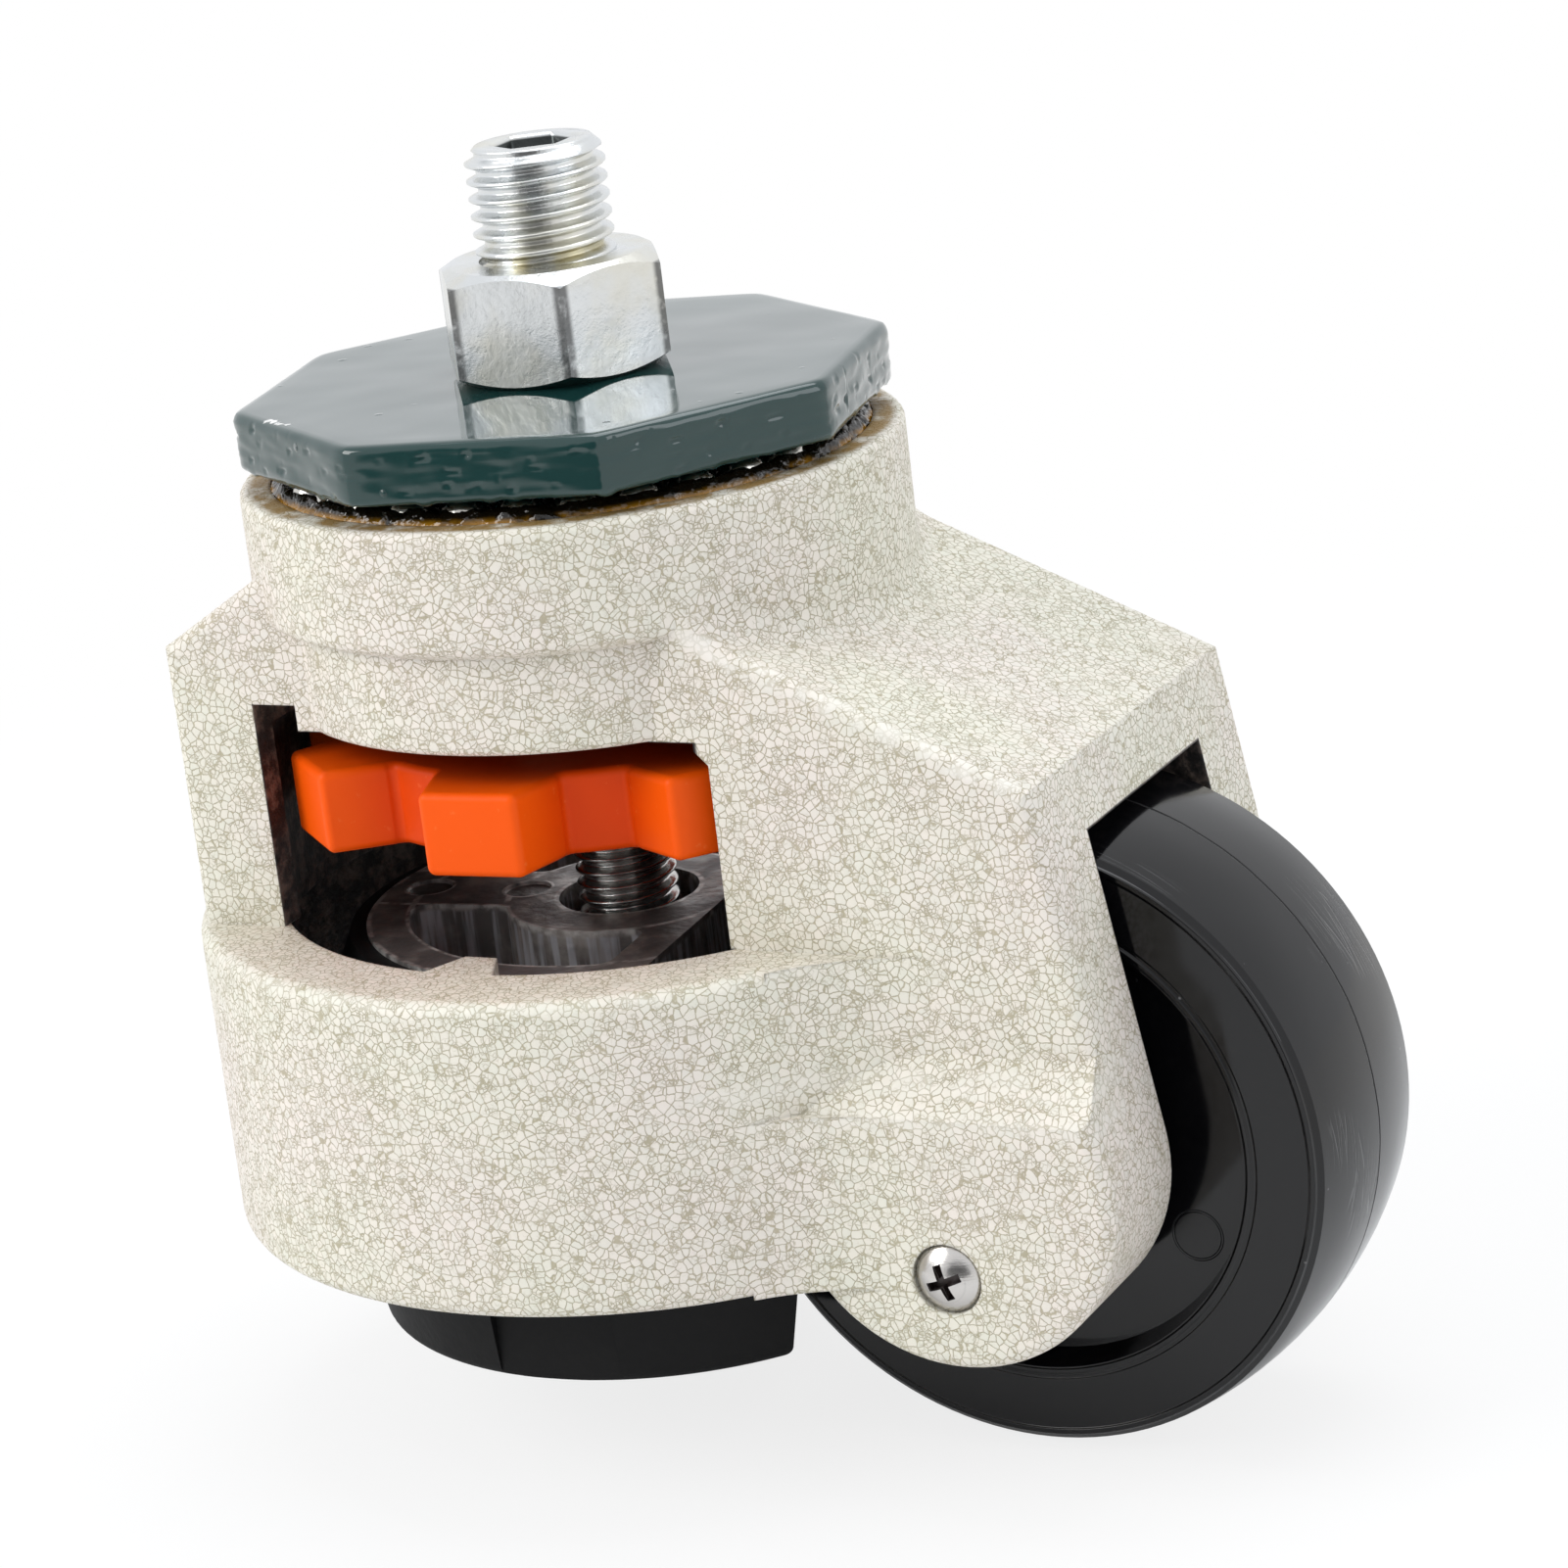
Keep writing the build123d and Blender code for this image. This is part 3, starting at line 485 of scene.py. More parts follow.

# %% Painted shade in the interior
room = enamel.times(
    enamel.ramp(out, room_out + 0.3 * mm, room_out),
    enamel.near(enamel.z, (room_top + lip_top) / 2, 11.85 * mm, 0.1 * mm),
)
lip_hole = enamel.times(
    enamel.ramp(out, lip_out + 0.15 * mm, lip_out),
    enamel.near(enamel.z, lip_top - 1.6 * mm, 1.5 * mm, 0.1 * mm),
)
bore = enamel.times(
    enamel.ramp(out, bore_out + 0.2 * mm, bore_out),
    enamel.ramp(enamel.z, lip_top - 2.9 * mm, lip_top - 3.0 * mm),
)
from_axle = enamel.far(enamel.sum(enamel.x, -axle_x), enamel.sum(enamel.z, -axle_z))
bay = enamel.times(
    enamel.ramp(side, bay_half + 0.15 * mm, bay_half),
    enamel.ramp(from_axle, bay_out + 0.2 * mm, bay_out),
)
jamb = enamel.times(
    enamel.near(enamel.x, window_front, 0.08 * mm, 0.06 * mm),
    enamel.ramp(out, jamb_out + 0.3 * mm, jamb_out),
)
jamb = enamel.times(jamb, enamel.near(enamel.z, window_middle, 13.3 * mm, 0.1 * mm))
painted_interior_shade = enamel.most(enamel.most(room, lip_hole), enamel.most(bore, bay))
painted_interior_shade = enamel.most(painted_interior_shade, jamb)
key = enamel.times(
    enamel.ramp(side, key_from, key_from + 0.2 * mm),
    enamel.ramp(enamel.size(enamel.x), key_half + 0.2 * mm, key_half),
)
key = enamel.times(key, enamel.ramp(enamel.z, lip_top + 0.3 * mm, lip_top + 0.1 * mm))
painted_interior_shade = enamel.times(painted_interior_shade, enamel.sum(1.0, enamel.times(key, -1.0)))
print("wheel bay round", round(axle_x / mm, 1), round(axle_z / mm, 1), "mm")

# %% Enamel, grease stain and painted interior shade together
coat = enamel.blend(net, hairline, island)
coat = enamel.multiply(coat, mist)
# Painted highlight: along the edges the coat is lightened towards a pale ivory.
coat = enamel.blend(enamel.times(edge, 0.35), coat, (0.84, 0.82, 0.77))
stain = enamel.times(
    enamel.ramp(enamel.z, head_top - 1.5 * mm, head_top - 0.2 * mm),
    enamel.ramp(out, stain_out + 1.3 * mm, stain_out),
)
stain = enamel.times(stain, enamel.ramp(enamel.noise(260, 3), 0.34, 0.56))
coat = enamel.blend(enamel.times(stain, 0.9), coat, (0.27, 0.15, 0.018))
# Painted shade: the interior faces get a dark mottled brown-black in place of the enamel.
interior_shade_mottle = enamel.ramp(enamel.noise(420, 5, rough=0.7), 0.42, 0.66)
interior_shade_colour = enamel.blend(interior_shade_mottle, (0.022, 0.020, 0.019), (0.15, 0.115, 0.095))
grit = enamel.noise(1400, 3)
enamel.colour(enamel.blend(painted_interior_shade, coat, interior_shade_colour))
enamel.roughness(enamel.blend_value(painted_interior_shade, enamel.ramp(net, 0.0, 1.0, 0.60, 0.42), 0.48))
enamel.bumps(
    (enamel.most(net, painted_interior_shade), 0.00004),
    (enamel.noise(210, 3), 0.00013),
    (enamel.times(grit, painted_interior_shade), 0.00025),
    rounded=0.6 * mm,
)
enamel.set(Specular_IOR_Level=0.34)
paint(enamel, "housing")
print("crackle enamel on the housing")

# %% [markdown]
# ## Thick green paint
#
# The top plate was dipped in a dark green gloss paint. Dust has left pimples on
# top, and one corner was knocked, so bright steel shows in a short crooked
# scratch. These are small enough for a bump map; the sags of the paint are
# shaped in the mesh that follows.

# %% Green gloss paint
deep_green, bright_steel = (0.007, 0.036, 0.034), (0.75, 0.75, 0.73)
knocked_side, knock_x, knock_y = 33.4 * mm, 0.52, 0.85
gloss = Finish("green gloss paint", deep_green, 0.06)
plate_low, plate_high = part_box("top_plate")
swell = gloss.noise(34, 2)
pimples = gloss.ramp(gloss.cells(210, feature="F1"), 0.13, 0.03)
dusty = gloss.ramp(gloss.noise(300, 1), 0.52, 0.62)
from_side = gloss.sum(
    gloss.times(gloss.x, knock_x),
    gloss.sum(gloss.times(gloss.y, knock_y), knocked_side),
)
knock = gloss.far(from_side, gloss.sum(gloss.z, -plate_high.z))
along = gloss.sum(gloss.times(gloss.x, knock_y), gloss.times(gloss.y, -knock_x))
wobble = gloss.times(gloss.sum(gloss.noise(900, 2), -0.5), 2.4 * mm)
scratch = gloss.times(
    gloss.ramp(gloss.size(gloss.sum(knock, wobble)), 0.45 * mm, 0.25 * mm),
    gloss.near(along, -5.6 * mm, 2.1 * mm, 0.5 * mm),
)
gloss.colour(gloss.blend(scratch, deep_green, bright_steel))
gloss.bumps(
    (swell, 0.0009),
    (gloss.times(pimples, dusty), 0.00030),
    (scratch, 0.0003),
)
gloss.set(Coat_Weight=0.5, Coat_Roughness=0.03, Specular_IOR_Level=0.42)
print("green paint, plate's top at", round(plate_high.z / mm, 1), "mm")

# %% [markdown]
# ## The painted plate
#
# Paint that thick rounds every edge, sags in level waves on the rim and hangs
# in beads from the lower edge. So the plate gets its own mesh: at each of 1080
# angles one closed section runs round the plate, from the hole over the bottom
# with its ball groove, up the rim and back over the top. The rim's points are
# pushed about by noise that is stretched along the rim.

# %% Painted plate
rim_angles, wall_rows = 1080, 16
hole_out = 7.9 * mm
flat_half = 35.0 * mm
flat_start = radians(56.5)
corner_limit = 37.62 * mm
# The ball groove, as radius and height above the plate's underside in mm.
groove_rows = [(28.76, 0.0), (29.5, 0.34), (30.4, 0.48), (31.3, 0.34), (32.04, 0.0)]
bottom_z, top_z = plate_low.z, plate_high.z


def octagon(angle):
    """Distance from the axis to the plate's rim at this angle, with softened corners."""
    turned_by = (angle - flat_start + pi / 8) % (pi / 4) - pi / 8
    straight = flat_half / cos(turned_by)
    blunt = 0.25 * mm
    return -blunt * log(exp(-straight / blunt) + exp(-corner_limit / blunt))


def rim_push(angle, z, seed):
    """How far the paint stands out from the rim, from long waves, fine waves and pits."""
    length = angle * flat_half / mm
    wave = noise.noise((length / 8, (z / mm) / 1.5, seed)) * 0.24
    fine_wave = noise.noise((length / 3.0, (z / mm) / 0.9, seed + 5)) * 0.085
    pit = max(0.0, noise.noise((length / 2.4, (z / mm) / 0.8, seed + 9)) - 0.38) * -0.85
    return (wave + fine_wave + pit) * mm


def rim_section(angle):
    """The plate's section at one angle, as (radius, z) from the hole round and back."""
    edge = octagon(angle)
    hang = max(0.0, noise.noise((angle * 14, 2.0, 7.0)) - 0.05) * 0.7 * mm
    points = [(hole_out, bottom_z)]
    points += [(radius * mm, bottom_z + rise * mm) for radius, rise in groove_rows]
    points += [
        (edge - 1.6 * mm, bottom_z - 0.2 * hang),
        (edge - 0.9 * mm, bottom_z - 0.8 * hang),
        (edge - 0.4 * mm, bottom_z + 0.1 * mm - hang),
        (edge - 0.10 * mm, bottom_z + 0.45 * mm - 0.5 * hang),
    ]
    for k in range(wall_rows):
        z = bottom_z + 0.9 * mm + (top_z - bottom_z - 1.9 * mm) * k / (wall_rows - 1)
        points.append((edge + rim_push(angle, z, 1.0), z))
    brow = rim_push(angle, top_z, 30.0)
    points += [
        (edge - 0.12 * mm + 0.6 * brow, top_z - 0.55 * mm),
        (edge - 0.38 * mm + 0.4 * brow, top_z - 0.20 * mm),
        (edge - 0.85 * mm, top_z - 0.04 * mm),
        (edge - 1.5 * mm, top_z),
    ]
    for share in (0.9, 0.8, 0.7, 0.6, 0.5, 0.4, 0.3):
        radius = edge * share
        lift = noise.noise((radius * cos(angle) * 45, radius * sin(angle) * 45, 3.0)) * 0.05 * mm
        points.append((radius, top_z - abs(lift)))
    points.append((hole_out, top_z))
    return points


def turned_mesh(name, count, section):
    """A closed mesh from a closed section that changes with the angle."""
    mesh = bpy.data.meshes.new(name)
    points, faces = [], []
    for i in range(count):
        angle = tau * i / count
        row = section(angle)
        points += [(radius * cos(angle), radius * sin(angle), z) for radius, z in row]
    width = len(row)
    for i in range(count):
        a, b = i * width, (i + 1) % count * width
        faces += [(a + k, b + k, b + (k + 1) % width, a + (k + 1) % width) for k in range(width)]
    mesh.from_pydata(points, [], faces)
    mesh.polygons.foreach_set("use_smooth", [True] * len(faces))
    mesh.update()
    piece = bpy.data.objects.new(name, mesh)
    scene.collection.objects.link(piece)
    return piece


painted_plate = turned_mesh("painted_plate", rim_angles, rim_section)
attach(painted_plate, "mounting")
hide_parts("top_plate")
paint(gloss, "painted_plate")
print("plate:", len(painted_plate.data.polygons), "faces")

# %% [markdown]
# ## Metals
#
# The stem and nut are zinc plated: bright and cloudy, with a yellow breath of
# passivation. Painted shade darkens the nut's corners and the stem's socket.
# The same helper with other colours gives the screws, the balls, the bronze
# and the steels of the hidden pieces, which are drawn with fine level lines.

# %% Metal helper


def metal(name, colour, roughness, cloud, scratches, lines=(1, 1, 9)):
    """Metal with cloudy roughness and drawn lines; cloud and scratches are strengths."""
    made = Finish(name, colour, roughness, 1.0)
    drawn = made.noise(420, 4, stretch=lines, rough=0.65)
    made.roughness(made.ramp(made.noise(140, 4), 0.3, 0.7, roughness - cloud, roughness + cloud))
    made.bumps((drawn, 0.00005 * scratches), (made.noise(520, 3), 0.00006 * scratches))
    return made


balls = metal("polished balls", (0.62, 0.60, 0.56), 0.12, 0.04, 0.3)
paint(balls, "upper_balls", "lower_balls", "upper_race", "lower_race")
dark_steel = metal("oiled dark steel", (0.36, 0.35, 0.34), 0.30, 0.07, 0.8)
paint(dark_steel, "axle", "thread_insert", "insert_clip", "stud_stop", "stud_ring", "foot_nut")
stainless = metal("stainless", (0.60, 0.59, 0.57), 0.26, 0.06, 0.6)
paint(stainless, "side_washers", "thrust_washer")
bronze = metal("bronze", (0.52, 0.36, 0.18), 0.35, 0.06, 0.6)
paint(bronze, "wheel_bush", "thrust_bush")
print("metals:", [m.name for m in bpy.data.materials][-4:])

# %% Zinc plate
zinc = metal("bright zinc", (0.72, 0.72, 0.70), 0.27, 0.08, 0.9, lines=(3, 3, 3))
stem_low, stem_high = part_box("stem")
nut_low, nut_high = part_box("jam_nut")
root_out, corner_out, socket_out = 6.8 * mm, 13.25 * mm, 4.7 * mm
breath = zinc.ramp(zinc.noise(120, 3), 0.38, 0.66)
plated = zinc.blend(breath, (0.72, 0.74, 0.75), (0.71, 0.70, 0.64))
zinc_out = zinc.far(zinc.x, zinc.y)
root = zinc.times(
    zinc.ramp(zinc_out, root_out + 1.1 * mm, root_out),
    zinc.ramp(zinc.z, nut_high.z + 3.0 * mm, nut_high.z + 0.8 * mm),
)
# Painted shade: the nut's corners are darkened to near black.
nut_corner_shade = zinc.times(
    zinc.ramp(zinc_out, corner_out, corner_out + 0.35 * mm),
    zinc.ramp(zinc.noise(700, 3), 0.24, 0.50, 0.4, 1.0),
)
# Painted shade: the stem's hex socket is darkened within.
socket_shade = zinc.times(
    zinc.ramp(zinc_out, socket_out + 0.25 * mm, socket_out),
    zinc.ramp(zinc.z, stem_high.z - 0.2 * mm, stem_high.z - 0.5 * mm),
)
plated = zinc.blend(zinc.times(root, zinc.ramp(zinc.noise(260, 3), 0.35, 0.65)), plated, (0.50, 0.46, 0.32))
plated = zinc.blend(zinc.times(nut_corner_shade, 0.85), plated, (0.10, 0.10, 0.10))
zinc.colour(zinc.blend(socket_shade, plated, (0.045, 0.05, 0.05)))
paint(zinc, "jam_nut")
print("zinc on the nut, from", round(nut_low.z / mm, 1), "to", round(nut_high.z / mm, 1), "mm")

# %% Screw heads with painted shade in the cross and round the rim
screw_colour = (0.60, 0.58, 0.56)
screws = metal("screw steel", screw_colour, 0.20, 0.05, 0.5)
screw_low, screw_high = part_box("axle_screws")
screw_x, screw_z = (screw_low.x + screw_high.x) / 2, (screw_low.z + screw_high.z) / 2
screw_out = screws.far(screws.sum(screws.x, -screw_x), screws.sum(screws.z, -screw_z))
depth = screws.sum(screws.size(screws.y), -screw_high.y)
cross = screws.times(
    screws.ramp(screw_out, 2.6 * mm, 2.3 * mm),
    screws.ramp(depth, -0.45 * mm, -0.75 * mm),
)
rim = screws.ramp(screw_out, 3.7 * mm, 3.85 * mm)
# Painted shade: brown-black in the cross recess and round the head's edge next to the casting.
cross_and_rim_shade = screws.most(cross, screws.times(rim, screws.ramp(depth, -1.3 * mm, -1.9 * mm)))
screws.colour(screws.blend(cross_and_rim_shade, screw_colour, (0.035, 0.024, 0.022)))
screws.tie(screws.ramp(cross_and_rim_shade, 0.0, 1.0, 1.0, 0.3), "Metallic")
paint(screws, "axle_screws")
print("screw at", round(screw_x / mm, 1), round(screw_z / mm, 1))

# %% [markdown]
# ## The black wheel
#
# The wheel is moulded from black nylon. It shines, and what makes it real is
# small: the hairline where the mould's halves met, fine scuffs across the
# tread, a raised bead at the shoulder, and the round mark of an ejector pin.
# These are shallow enough for a bump map. The lines are placed by their
# distance from the axle, so they sit right on the wheel; the pin's mark has a
# place of its own.

# %% Black nylon
nylon_black = (0.0035, 0.0035, 0.0042)
tread_radius = 37.5 * mm
bead_out, recess_line_out, recess_bead_out = 35.0 * mm, 28.3 * mm, 27.6 * mm
pin_x, pin_z, pin_radius, pin_side = 72.6 * mm, -109.9 * mm, 2.9 * mm, 10.0 * mm
nylon = Finish("black nylon", nylon_black, 0.16)
wheel_x = nylon.sum(nylon.x, -axle_x)
wheel_z = nylon.sum(nylon.z, -axle_z)
wheel_out = nylon.far(wheel_x, wheel_z)
wheel_side = nylon.size(nylon.y)
turn = nylon.math("ARCTAN2", wheel_z, wheel_x)
seam_wander = nylon.times(nylon.sum(nylon.noise(160, 3), -0.5), 0.5 * mm)
seam = nylon.ramp(nylon.size(nylon.sum(nylon.y, seam_wander)), 0.20 * mm, 0.09 * mm)
seam = nylon.times(seam, nylon.ramp(wheel_out, 36.0 * mm, 36.4 * mm))
bead = nylon.times(
    nylon.near(wheel_out, bead_out, 0.18 * mm, 0.35 * mm),
    nylon.ramp(wheel_side, 13.0 * mm, 13.6 * mm),
)
recess_line = nylon.near(wheel_out, recess_line_out, 0.10 * mm, 0.22 * mm)
recess_bead = nylon.near(wheel_out, recess_bead_out, 0.12 * mm, 0.30 * mm)
pin_out = nylon.far(nylon.sum(nylon.x, -pin_x), nylon.sum(nylon.z, -pin_z))
pin_line = nylon.times(
    nylon.near(pin_out, pin_radius, 0.06 * mm, 0.14 * mm),
    nylon.ramp(wheel_side, pin_side, pin_side + 0.3 * mm),
)
pin_face = nylon.times(
    nylon.ramp(pin_out, pin_radius, 2.8 * mm),
    nylon.ramp(wheel_side, pin_side, pin_side + 0.3 * mm),
)
angle_line = node(nylon.tree, "CombineXYZ")
nylon.tree.links.new(nylon.times(turn, tread_radius), angle_line.inputs[0])
nylon.tree.links.new(nylon.y, angle_line.inputs[1])
nylon.tree.links.new(wheel_out, angle_line.inputs[2])
lean = node(nylon.tree, "Mapping", Rotation=(0, 0, 0.35), Scale=(60, 900, 1))
nylon.tree.links.new(angle_line.outputs[0], lean.inputs[0])
lines = nylon.ramp(nylon.cells(1.0, at=lean.outputs[0]), 0.045, 0.015)
worn = nylon.ramp(nylon.noise(70, 2), 0.54, 0.66)
scuffs = nylon.times(nylon.times(lines, worn), nylon.ramp(wheel_out, 35.8 * mm, 36.6 * mm))
specks = nylon.times(
    nylon.ramp(nylon.cells(330, feature="F1"), 0.075, 0.03),
    nylon.ramp(nylon.noise(210, 1), 0.55, 0.62),
)
black = nylon.blend(nylon.times(scuffs, 0.5), nylon_black, (0.06, 0.06, 0.06))
nylon.colour(nylon.blend(nylon.times(specks, 0.7), black, (0.20, 0.20, 0.20)))
sheen = nylon.sum(nylon.ramp(nylon.noise(90, 4), 0.3, 0.7, 0.07, 0.16), nylon.times(pin_face, 0.12))
nylon.roughness(nylon.sum(sheen, nylon.times(seam, 0.7)))
nylon.bumps(
    (nylon.noise(28, 2), 0.0006),
    (seam, -0.00025),
    (nylon.most(bead, recess_bead), 0.00022),
    (nylon.sum(pin_line, recess_line), -0.00012),
    (scuffs, -0.00002),
)
nylon.set(Specular_IOR_Level=0.40)
paint(nylon, "wheel")
print("black nylon on the wheel")

# %% [markdown]
# ## Orange star, black rubber, dark casting
#
# The star is satin moulded plastic; painted shade makes it a little deeper in
# the valleys than on the lobes. Its shine is kept low, or the orange turns pink
# under white light. The foot's insert is a dark casting whose edges are rubbed
# bright and carry a painted highlight, and whose pocket walls carry the draw
# lines of the core.

# %% Orange plastic
orange = Finish("orange plastic", (0.90, 0.086, 0.001), 0.42)
dust = orange.ramp(orange.noise(800, 4), 0.66, 0.74)
star_out = orange.far(orange.x, orange.y)
# Painted shade: the orange is darker towards the valleys between the lobes.
valley_to_lobe_shade = orange.ramp(star_out, 27 * mm, 36 * mm)
plastic = orange.blend(valley_to_lobe_shade, (0.74, 0.055, 0.001), (0.90, 0.095, 0.001))
orange.colour(orange.blend(orange.times(dust, 0.25), plastic, (0.95, 0.25, 0.07)))
orange.bumps((orange.noise(500, 4), 0.00005), (orange.noise(60, 2), 0.0005))
orange.set(Specular_IOR_Level=0.15)
paint(orange, "thumbwheel")
print("orange plastic on the star")

# %% Rubber and the foot's casting
rubber = Finish("black rubber", (0.0040, 0.0040, 0.0043), 0.62)
rubber.bumps((rubber.noise(900, 3), 0.00005), (rubber.noise(60, 2), 0.0004))
rubber.set(Specular_IOR_Level=0.22)
paint(rubber, "foot_pad")

casting = Finish("dark casting", (0.16, 0.15, 0.145), 0.40, 0.65)
foot_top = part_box("foot_plate")[1].z
foot_turned = 0.0785            # radians
plate_out, pocket_out, boss_out, stud_hole_out = 31.0 * mm, 26.0 * mm, 14.5 * mm, 8.5 * mm
web_half = 6.0 * mm
mark_places, mark_radius = (26.0 * mm, 13.1 * mm), 2.8 * mm
across = casting.sum(casting.times(casting.x, -foot_turned), casting.y)
foot_out = casting.far(casting.x, casting.y)
web_rim = casting.times(
    casting.near(casting.size(across), web_half, 0.2 * mm, 0.35 * mm),
    casting.ramp(foot_out, 13.5 * mm, 14.5 * mm),
)
rims = casting.most(
    casting.near(foot_out, pocket_out, 0.22 * mm, 0.35 * mm),
    casting.near(foot_out, boss_out, 0.22 * mm, 0.35 * mm),
    casting.near(foot_out, plate_out, 0.35 * mm, 0.4 * mm),
    web_rim,
    casting.near(foot_out, stud_hole_out, 0.2 * mm, 0.35 * mm),
)
marks = []
for mark_out in mark_places:
    mark_x = casting.sum(casting.x, mark_out * cos(foot_turned))
    mark_y = casting.sum(casting.y, mark_out * sin(foot_turned))
    from_mark = casting.far(mark_x, mark_y)
    rims = casting.most(rims, casting.near(from_mark, mark_radius + 0.1 * mm, 0.12 * mm, 0.25 * mm))
    marks.append(casting.ramp(from_mark, mark_radius, mark_radius - 0.3 * mm))
in_mark = casting.times(
    casting.most(*marks),
    casting.ramp(casting.z, foot_top - 0.8 * mm, foot_top - 0.5 * mm),
)
rims = casting.blend_value(in_mark, rims, 0.0)
# Rubbed wear and painted highlight: the rims of the top face are lightened to near white.
rubbed_and_highlit = casting.times(rims, casting.ramp(casting.z, foot_top - 1.1 * mm, foot_top - 0.3 * mm))
rubbed_and_highlit = casting.times(rubbed_and_highlit, casting.ramp(casting.noise(420, 4), 0.36, 0.60))
patches = casting.ramp(casting.noise(150, 5, rough=0.65), 0.40, 0.66)
draw_lines = casting.noise(900, 3, stretch=(1, 1, 0.06))
skin = casting.blend(patches, (0.20, 0.185, 0.18), (0.42, 0.385, 0.36))
drawn_wall = casting.times(
    casting.ramp(casting.z, foot_top - 0.4 * mm, foot_top - 1.0 * mm),
    casting.ramp(draw_lines, 0.45, 0.62),
)
skin = casting.blend(drawn_wall, skin, (0.58, 0.58, 0.61))
skin = casting.blend(casting.times(in_mark, 0.6), skin, (0.06, 0.055, 0.05))
casting.colour(casting.blend(rubbed_and_highlit, skin, (0.80, 0.78, 0.75)))
casting.roughness(casting.ramp(casting.noise(220, 4), 0.3, 0.7, 0.30, 0.52))
casting.bumps((casting.noise(700, 4), 0.00012), (draw_lines, 0.00010))
paint(casting, "foot_plate")
print("rubber and casting on the foot")

# %% [markdown]
# ## Real threads
#
# The solids carry plain cylinders, which is enough for holding things together.
# Here the stem and the stud get rolled threads. Rings of points are stacked
# along the axis, and each point's radius follows the thread's profile at its
# own angle and height, which winds the ridge round by itself.

# %% Threads
around = 96


def thread_profile(turns):
    """0 at the thread's root to 1 at its crest, for a place counted in turns."""
    away = abs((turns + 0.5) % 1.0 - 0.5) * 2
    flank = (0.72 - away) / 0.56
    eased = min(1.0, max(0.0, flank))
    return eased * eased * (3 - 2 * eased) * 0.25 + eased * 0.75


def thread_radius(crest, pitch, z, angle):
    """Distance from the axis to the thread's surface at this angle and height."""
    depth = 0.6 * pitch
    return crest - depth * (1 - thread_profile(z / pitch - angle / tau))


def stacked(name, rings):
    """A closed mesh from rings of points, joined in order and capped at both ends."""
    mesh = bpy.data.meshes.new(name)
    count = len(rings[0])
    points = [p for ring in rings for p in ring]
    faces = []
    for row in range(len(rings) - 1):
        for i in range(count):
            j = (i + 1) % count
            a, b = row * count, (row + 1) * count
            faces.append((a + i, a + j, b + j, b + i))
    faces.append(tuple(range(count))[::-1])
    last = (len(rings) - 1) * count
    faces.append(tuple(range(last, last + count)))
    mesh.from_pydata(points, [], faces)
    mesh.polygons.foreach_set("use_smooth", [True] * len(mesh.polygons))
    mesh.update()
    piece = bpy.data.objects.new(name, mesh)
    scene.collection.objects.link(piece)
    return piece


def ring(radius, z):
    """One ring of points; radius is a number or a function of the angle."""
    angles = [tau * i / around for i in range(around)]
    sizes = [radius(a) if callable(radius) else radius for a in angles]
    return [(r * cos(a), r * sin(a), z) for r, a in zip(sizes, angles)]


def threaded(crest, pitch, z_from, z_to, chamfer_top=0.0, steps=14):
    """Rings of a thread from z_from up to z_to, with a chamfer at the top."""
    rows = []
    count = int((z_to - z_from) / pitch * steps)
    for k in range(count + 1):
        z = z_from + (z_to - z_from) * k / count
        limit = crest - max(0.0, chamfer_top - (z_to - z))
        rows.append(ring(lambda a: min(limit, thread_radius(crest, pitch, z, a)), z))
    return rows


print("stem from", round(stem_low.z / mm, 2), "to", round(stem_high.z / mm, 2))

# %% Threaded stem
stem_crest = 7.95 * mm
stem_pitch = 2.0 * mm
socket_half = 4.0 * mm
socket_depth = 8.0 * mm


def hexagon(angle):
    """Distance from the axis to the socket's hexagon at this angle."""
    return socket_half / cos((angle + pi / 6) % (pi / 3) - pi / 6)


peened_end, spigot, journal, flange, plain_shank = 10.5 * mm, 8.4 * mm, 10.0 * mm, 16.0 * mm, 7.8 * mm
shank = [
    ring(9.3 * mm, stem_low.z),
    ring(peened_end, stem_low.z + 1.2 * mm),
    ring(spigot, stem_low.z + 1.25 * mm),
    ring(spigot, stem_low.z + 3.6 * mm),
    ring(journal, stem_low.z + 3.65 * mm),
    ring(journal, plate_low.z - 3.0 * mm),
    ring(flange, plate_low.z - 2.98 * mm),
    ring(flange, plate_low.z - 0.02 * mm),
    ring(plain_shank, plate_low.z),
    ring(plain_shank, nut_low.z - 0.1 * mm),
]
thread = threaded(stem_crest, stem_pitch, nut_low.z, stem_high.z, chamfer_top=1.3 * mm)
mouth = [
    ring(lambda a: hexagon(a) + 0.3 * mm, stem_high.z),
    ring(hexagon, stem_high.z - 0.3 * mm),
    ring(hexagon, stem_high.z - socket_depth),
    ring(0.5 * mm, stem_high.z - socket_depth - 1.2 * mm),
]
stem = stacked("threaded_stem", shank + thread + mouth)
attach(stem, "mounting")
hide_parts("stem")
paint(zinc, "threaded_stem")
print("stem:", len(stem.data.polygons), "faces")

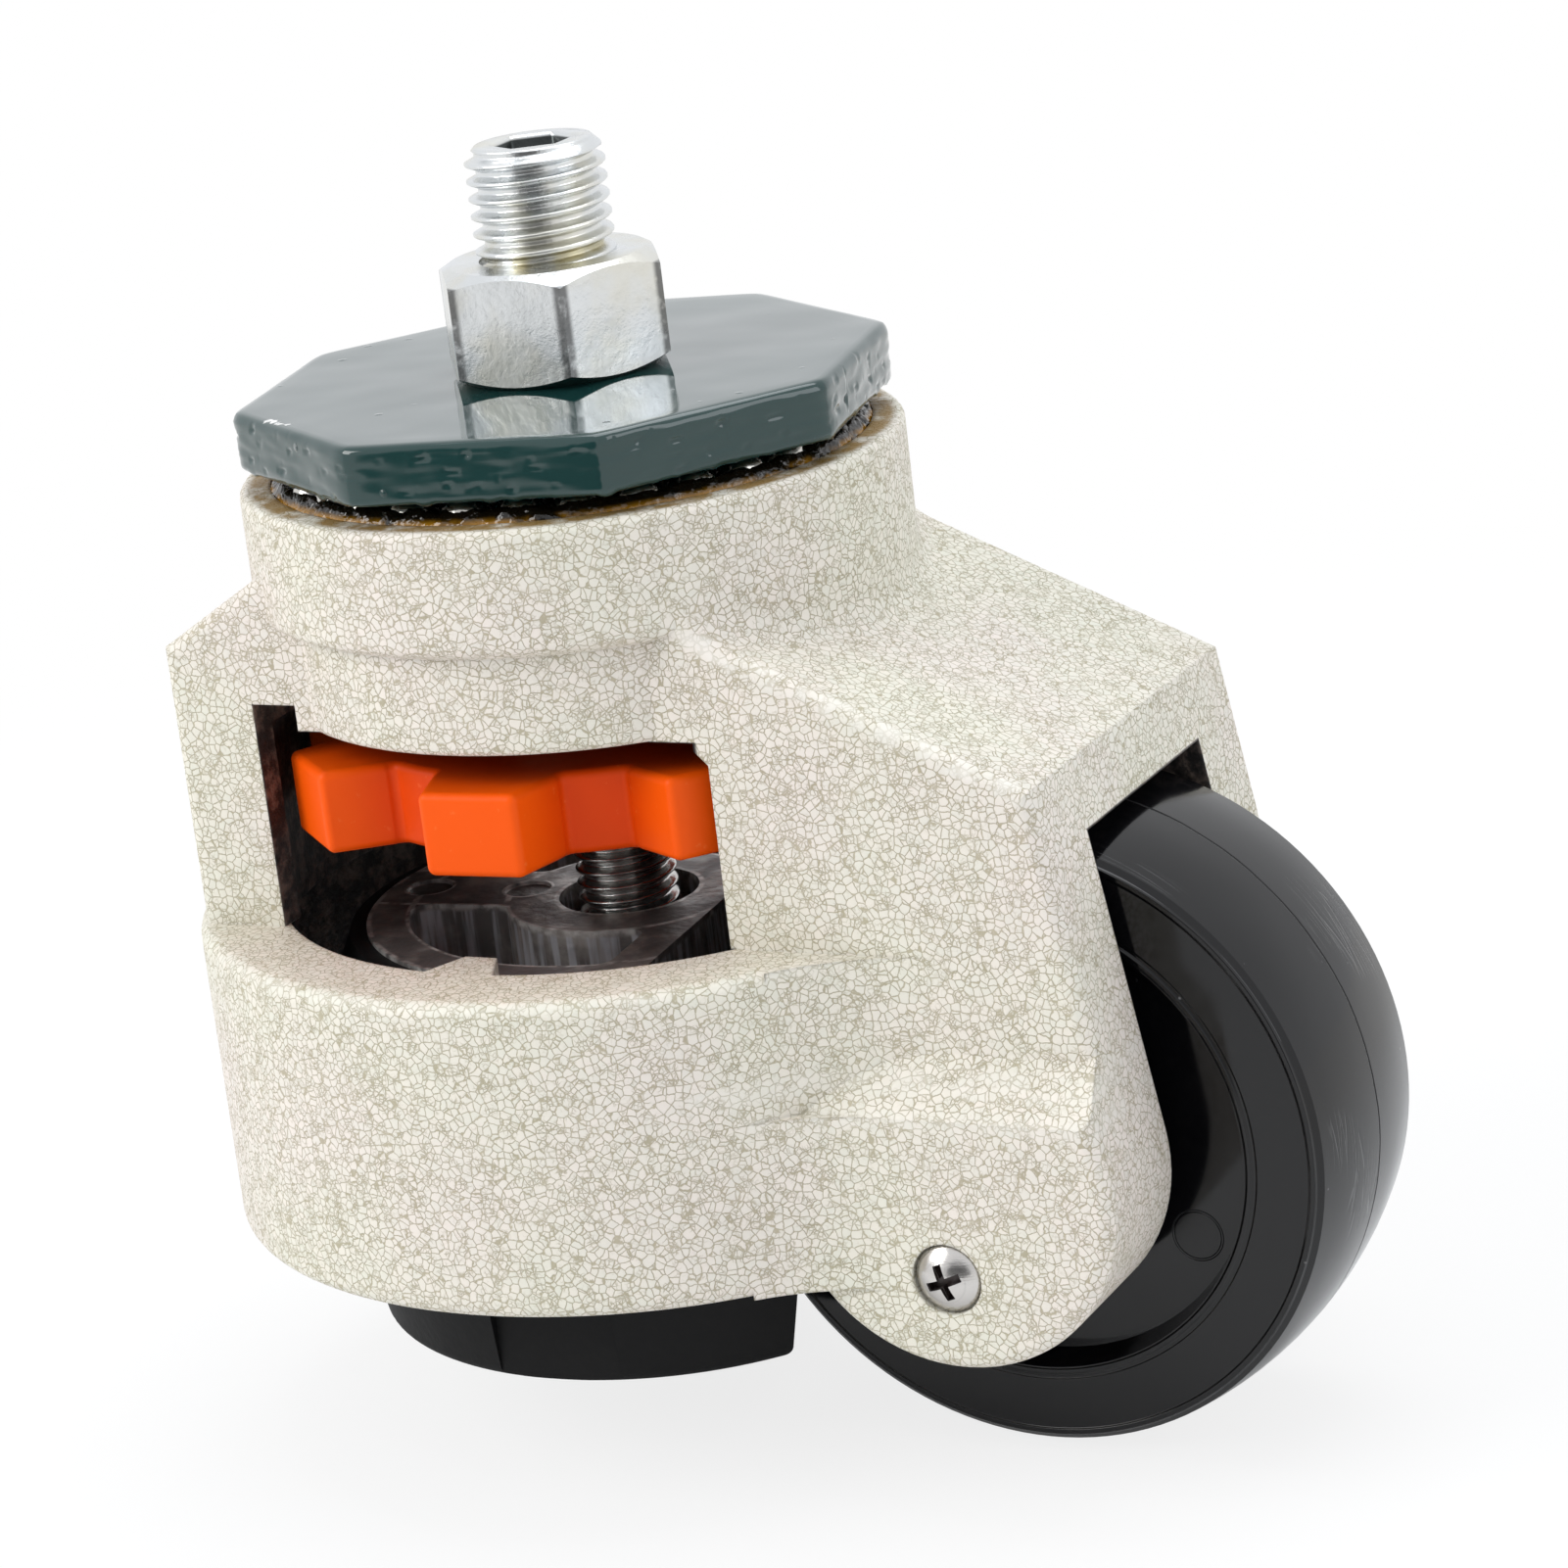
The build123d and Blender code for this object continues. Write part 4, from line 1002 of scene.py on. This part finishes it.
# %% Threaded stud
stud_low, stud_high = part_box("foot_stud")
stud_crest, stud_pitch = 5.92 * mm, 1.75 * mm
stud_thread = threaded(stud_crest, stud_pitch, stud_low.z, stud_high.z, chamfer_top=0.6 * mm)
stud = stacked("threaded_stud", stud_thread)
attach(stud, "foot")
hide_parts("foot_stud")
stud_steel = metal("bright oiled steel", (0.62, 0.62, 0.60), 0.24, 0.06, 1.0)
paint(stud_steel, "threaded_stud")
print("stud:", len(stud.data.polygons), "faces")

# %% [markdown]
# ## Grease in the head's bearing
#
# The gap between the plate and the head isn't clean. Thick grease has been
# squeezed out of the upper balls and lies in a lumpy ring: nearly black where
# it's deep, amber where it's thin, and so wet that it sparkles. It is turned as
# the plate was, and noise pushes its section about, so no lump is like another.

# %% Grease
grease_turns = 360
grease_lump = 0.6 * mm
grease_rows = [
    (31.6, 1.6, 0.0),
    (31.8, -0.7, 0.5),
    (32.8, -1.25, 0.8),
    (33.5, -1.1, 1.0),
    (34.1, -0.4, 1.2),
    (34.6, 0.4, 0.8),
    (34.55, 1.6, 0.0),
]


def grease_section(angle):
    """The ring's section; each row gives radius and drop in mm and how loose it is."""
    points = []
    for k, (radius, drop, loose) in enumerate(grease_rows):
        at = Vector((cos(angle) * 14, sin(angle) * 14, k * 0.7))
        push = grease_lump * loose * (noise.noise(at) + 0.6 * noise.noise(at * 2.7))
        points.append((radius * mm + 0.3 * push, head_top - drop * mm + push))
    return points


bearing_grease = turned_mesh("bearing_grease", grease_turns, grease_section)
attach(bearing_grease, "housing")

grease = Finish("bearing grease", (0.02, 0.012, 0.006), 0.05)
thin = grease.ramp(grease.z, head_top + 0.7 * mm, head_top - 0.2 * mm)
amber = grease.times(thin, grease.ramp(grease.noise(240, 3), 0.38, 0.54))
grease.colour(grease.blend(amber, (0.006, 0.004, 0.002), (0.40, 0.19, 0.012)))
grease.bumps((grease.noise(520, 2), 0.0007), (grease.noise(1500, 2), 0.00012))
grease.set(Specular_IOR_Level=0.5)
paint(grease, "bearing_grease")
print("grease:", len(bearing_grease.data.polygons), "faces")
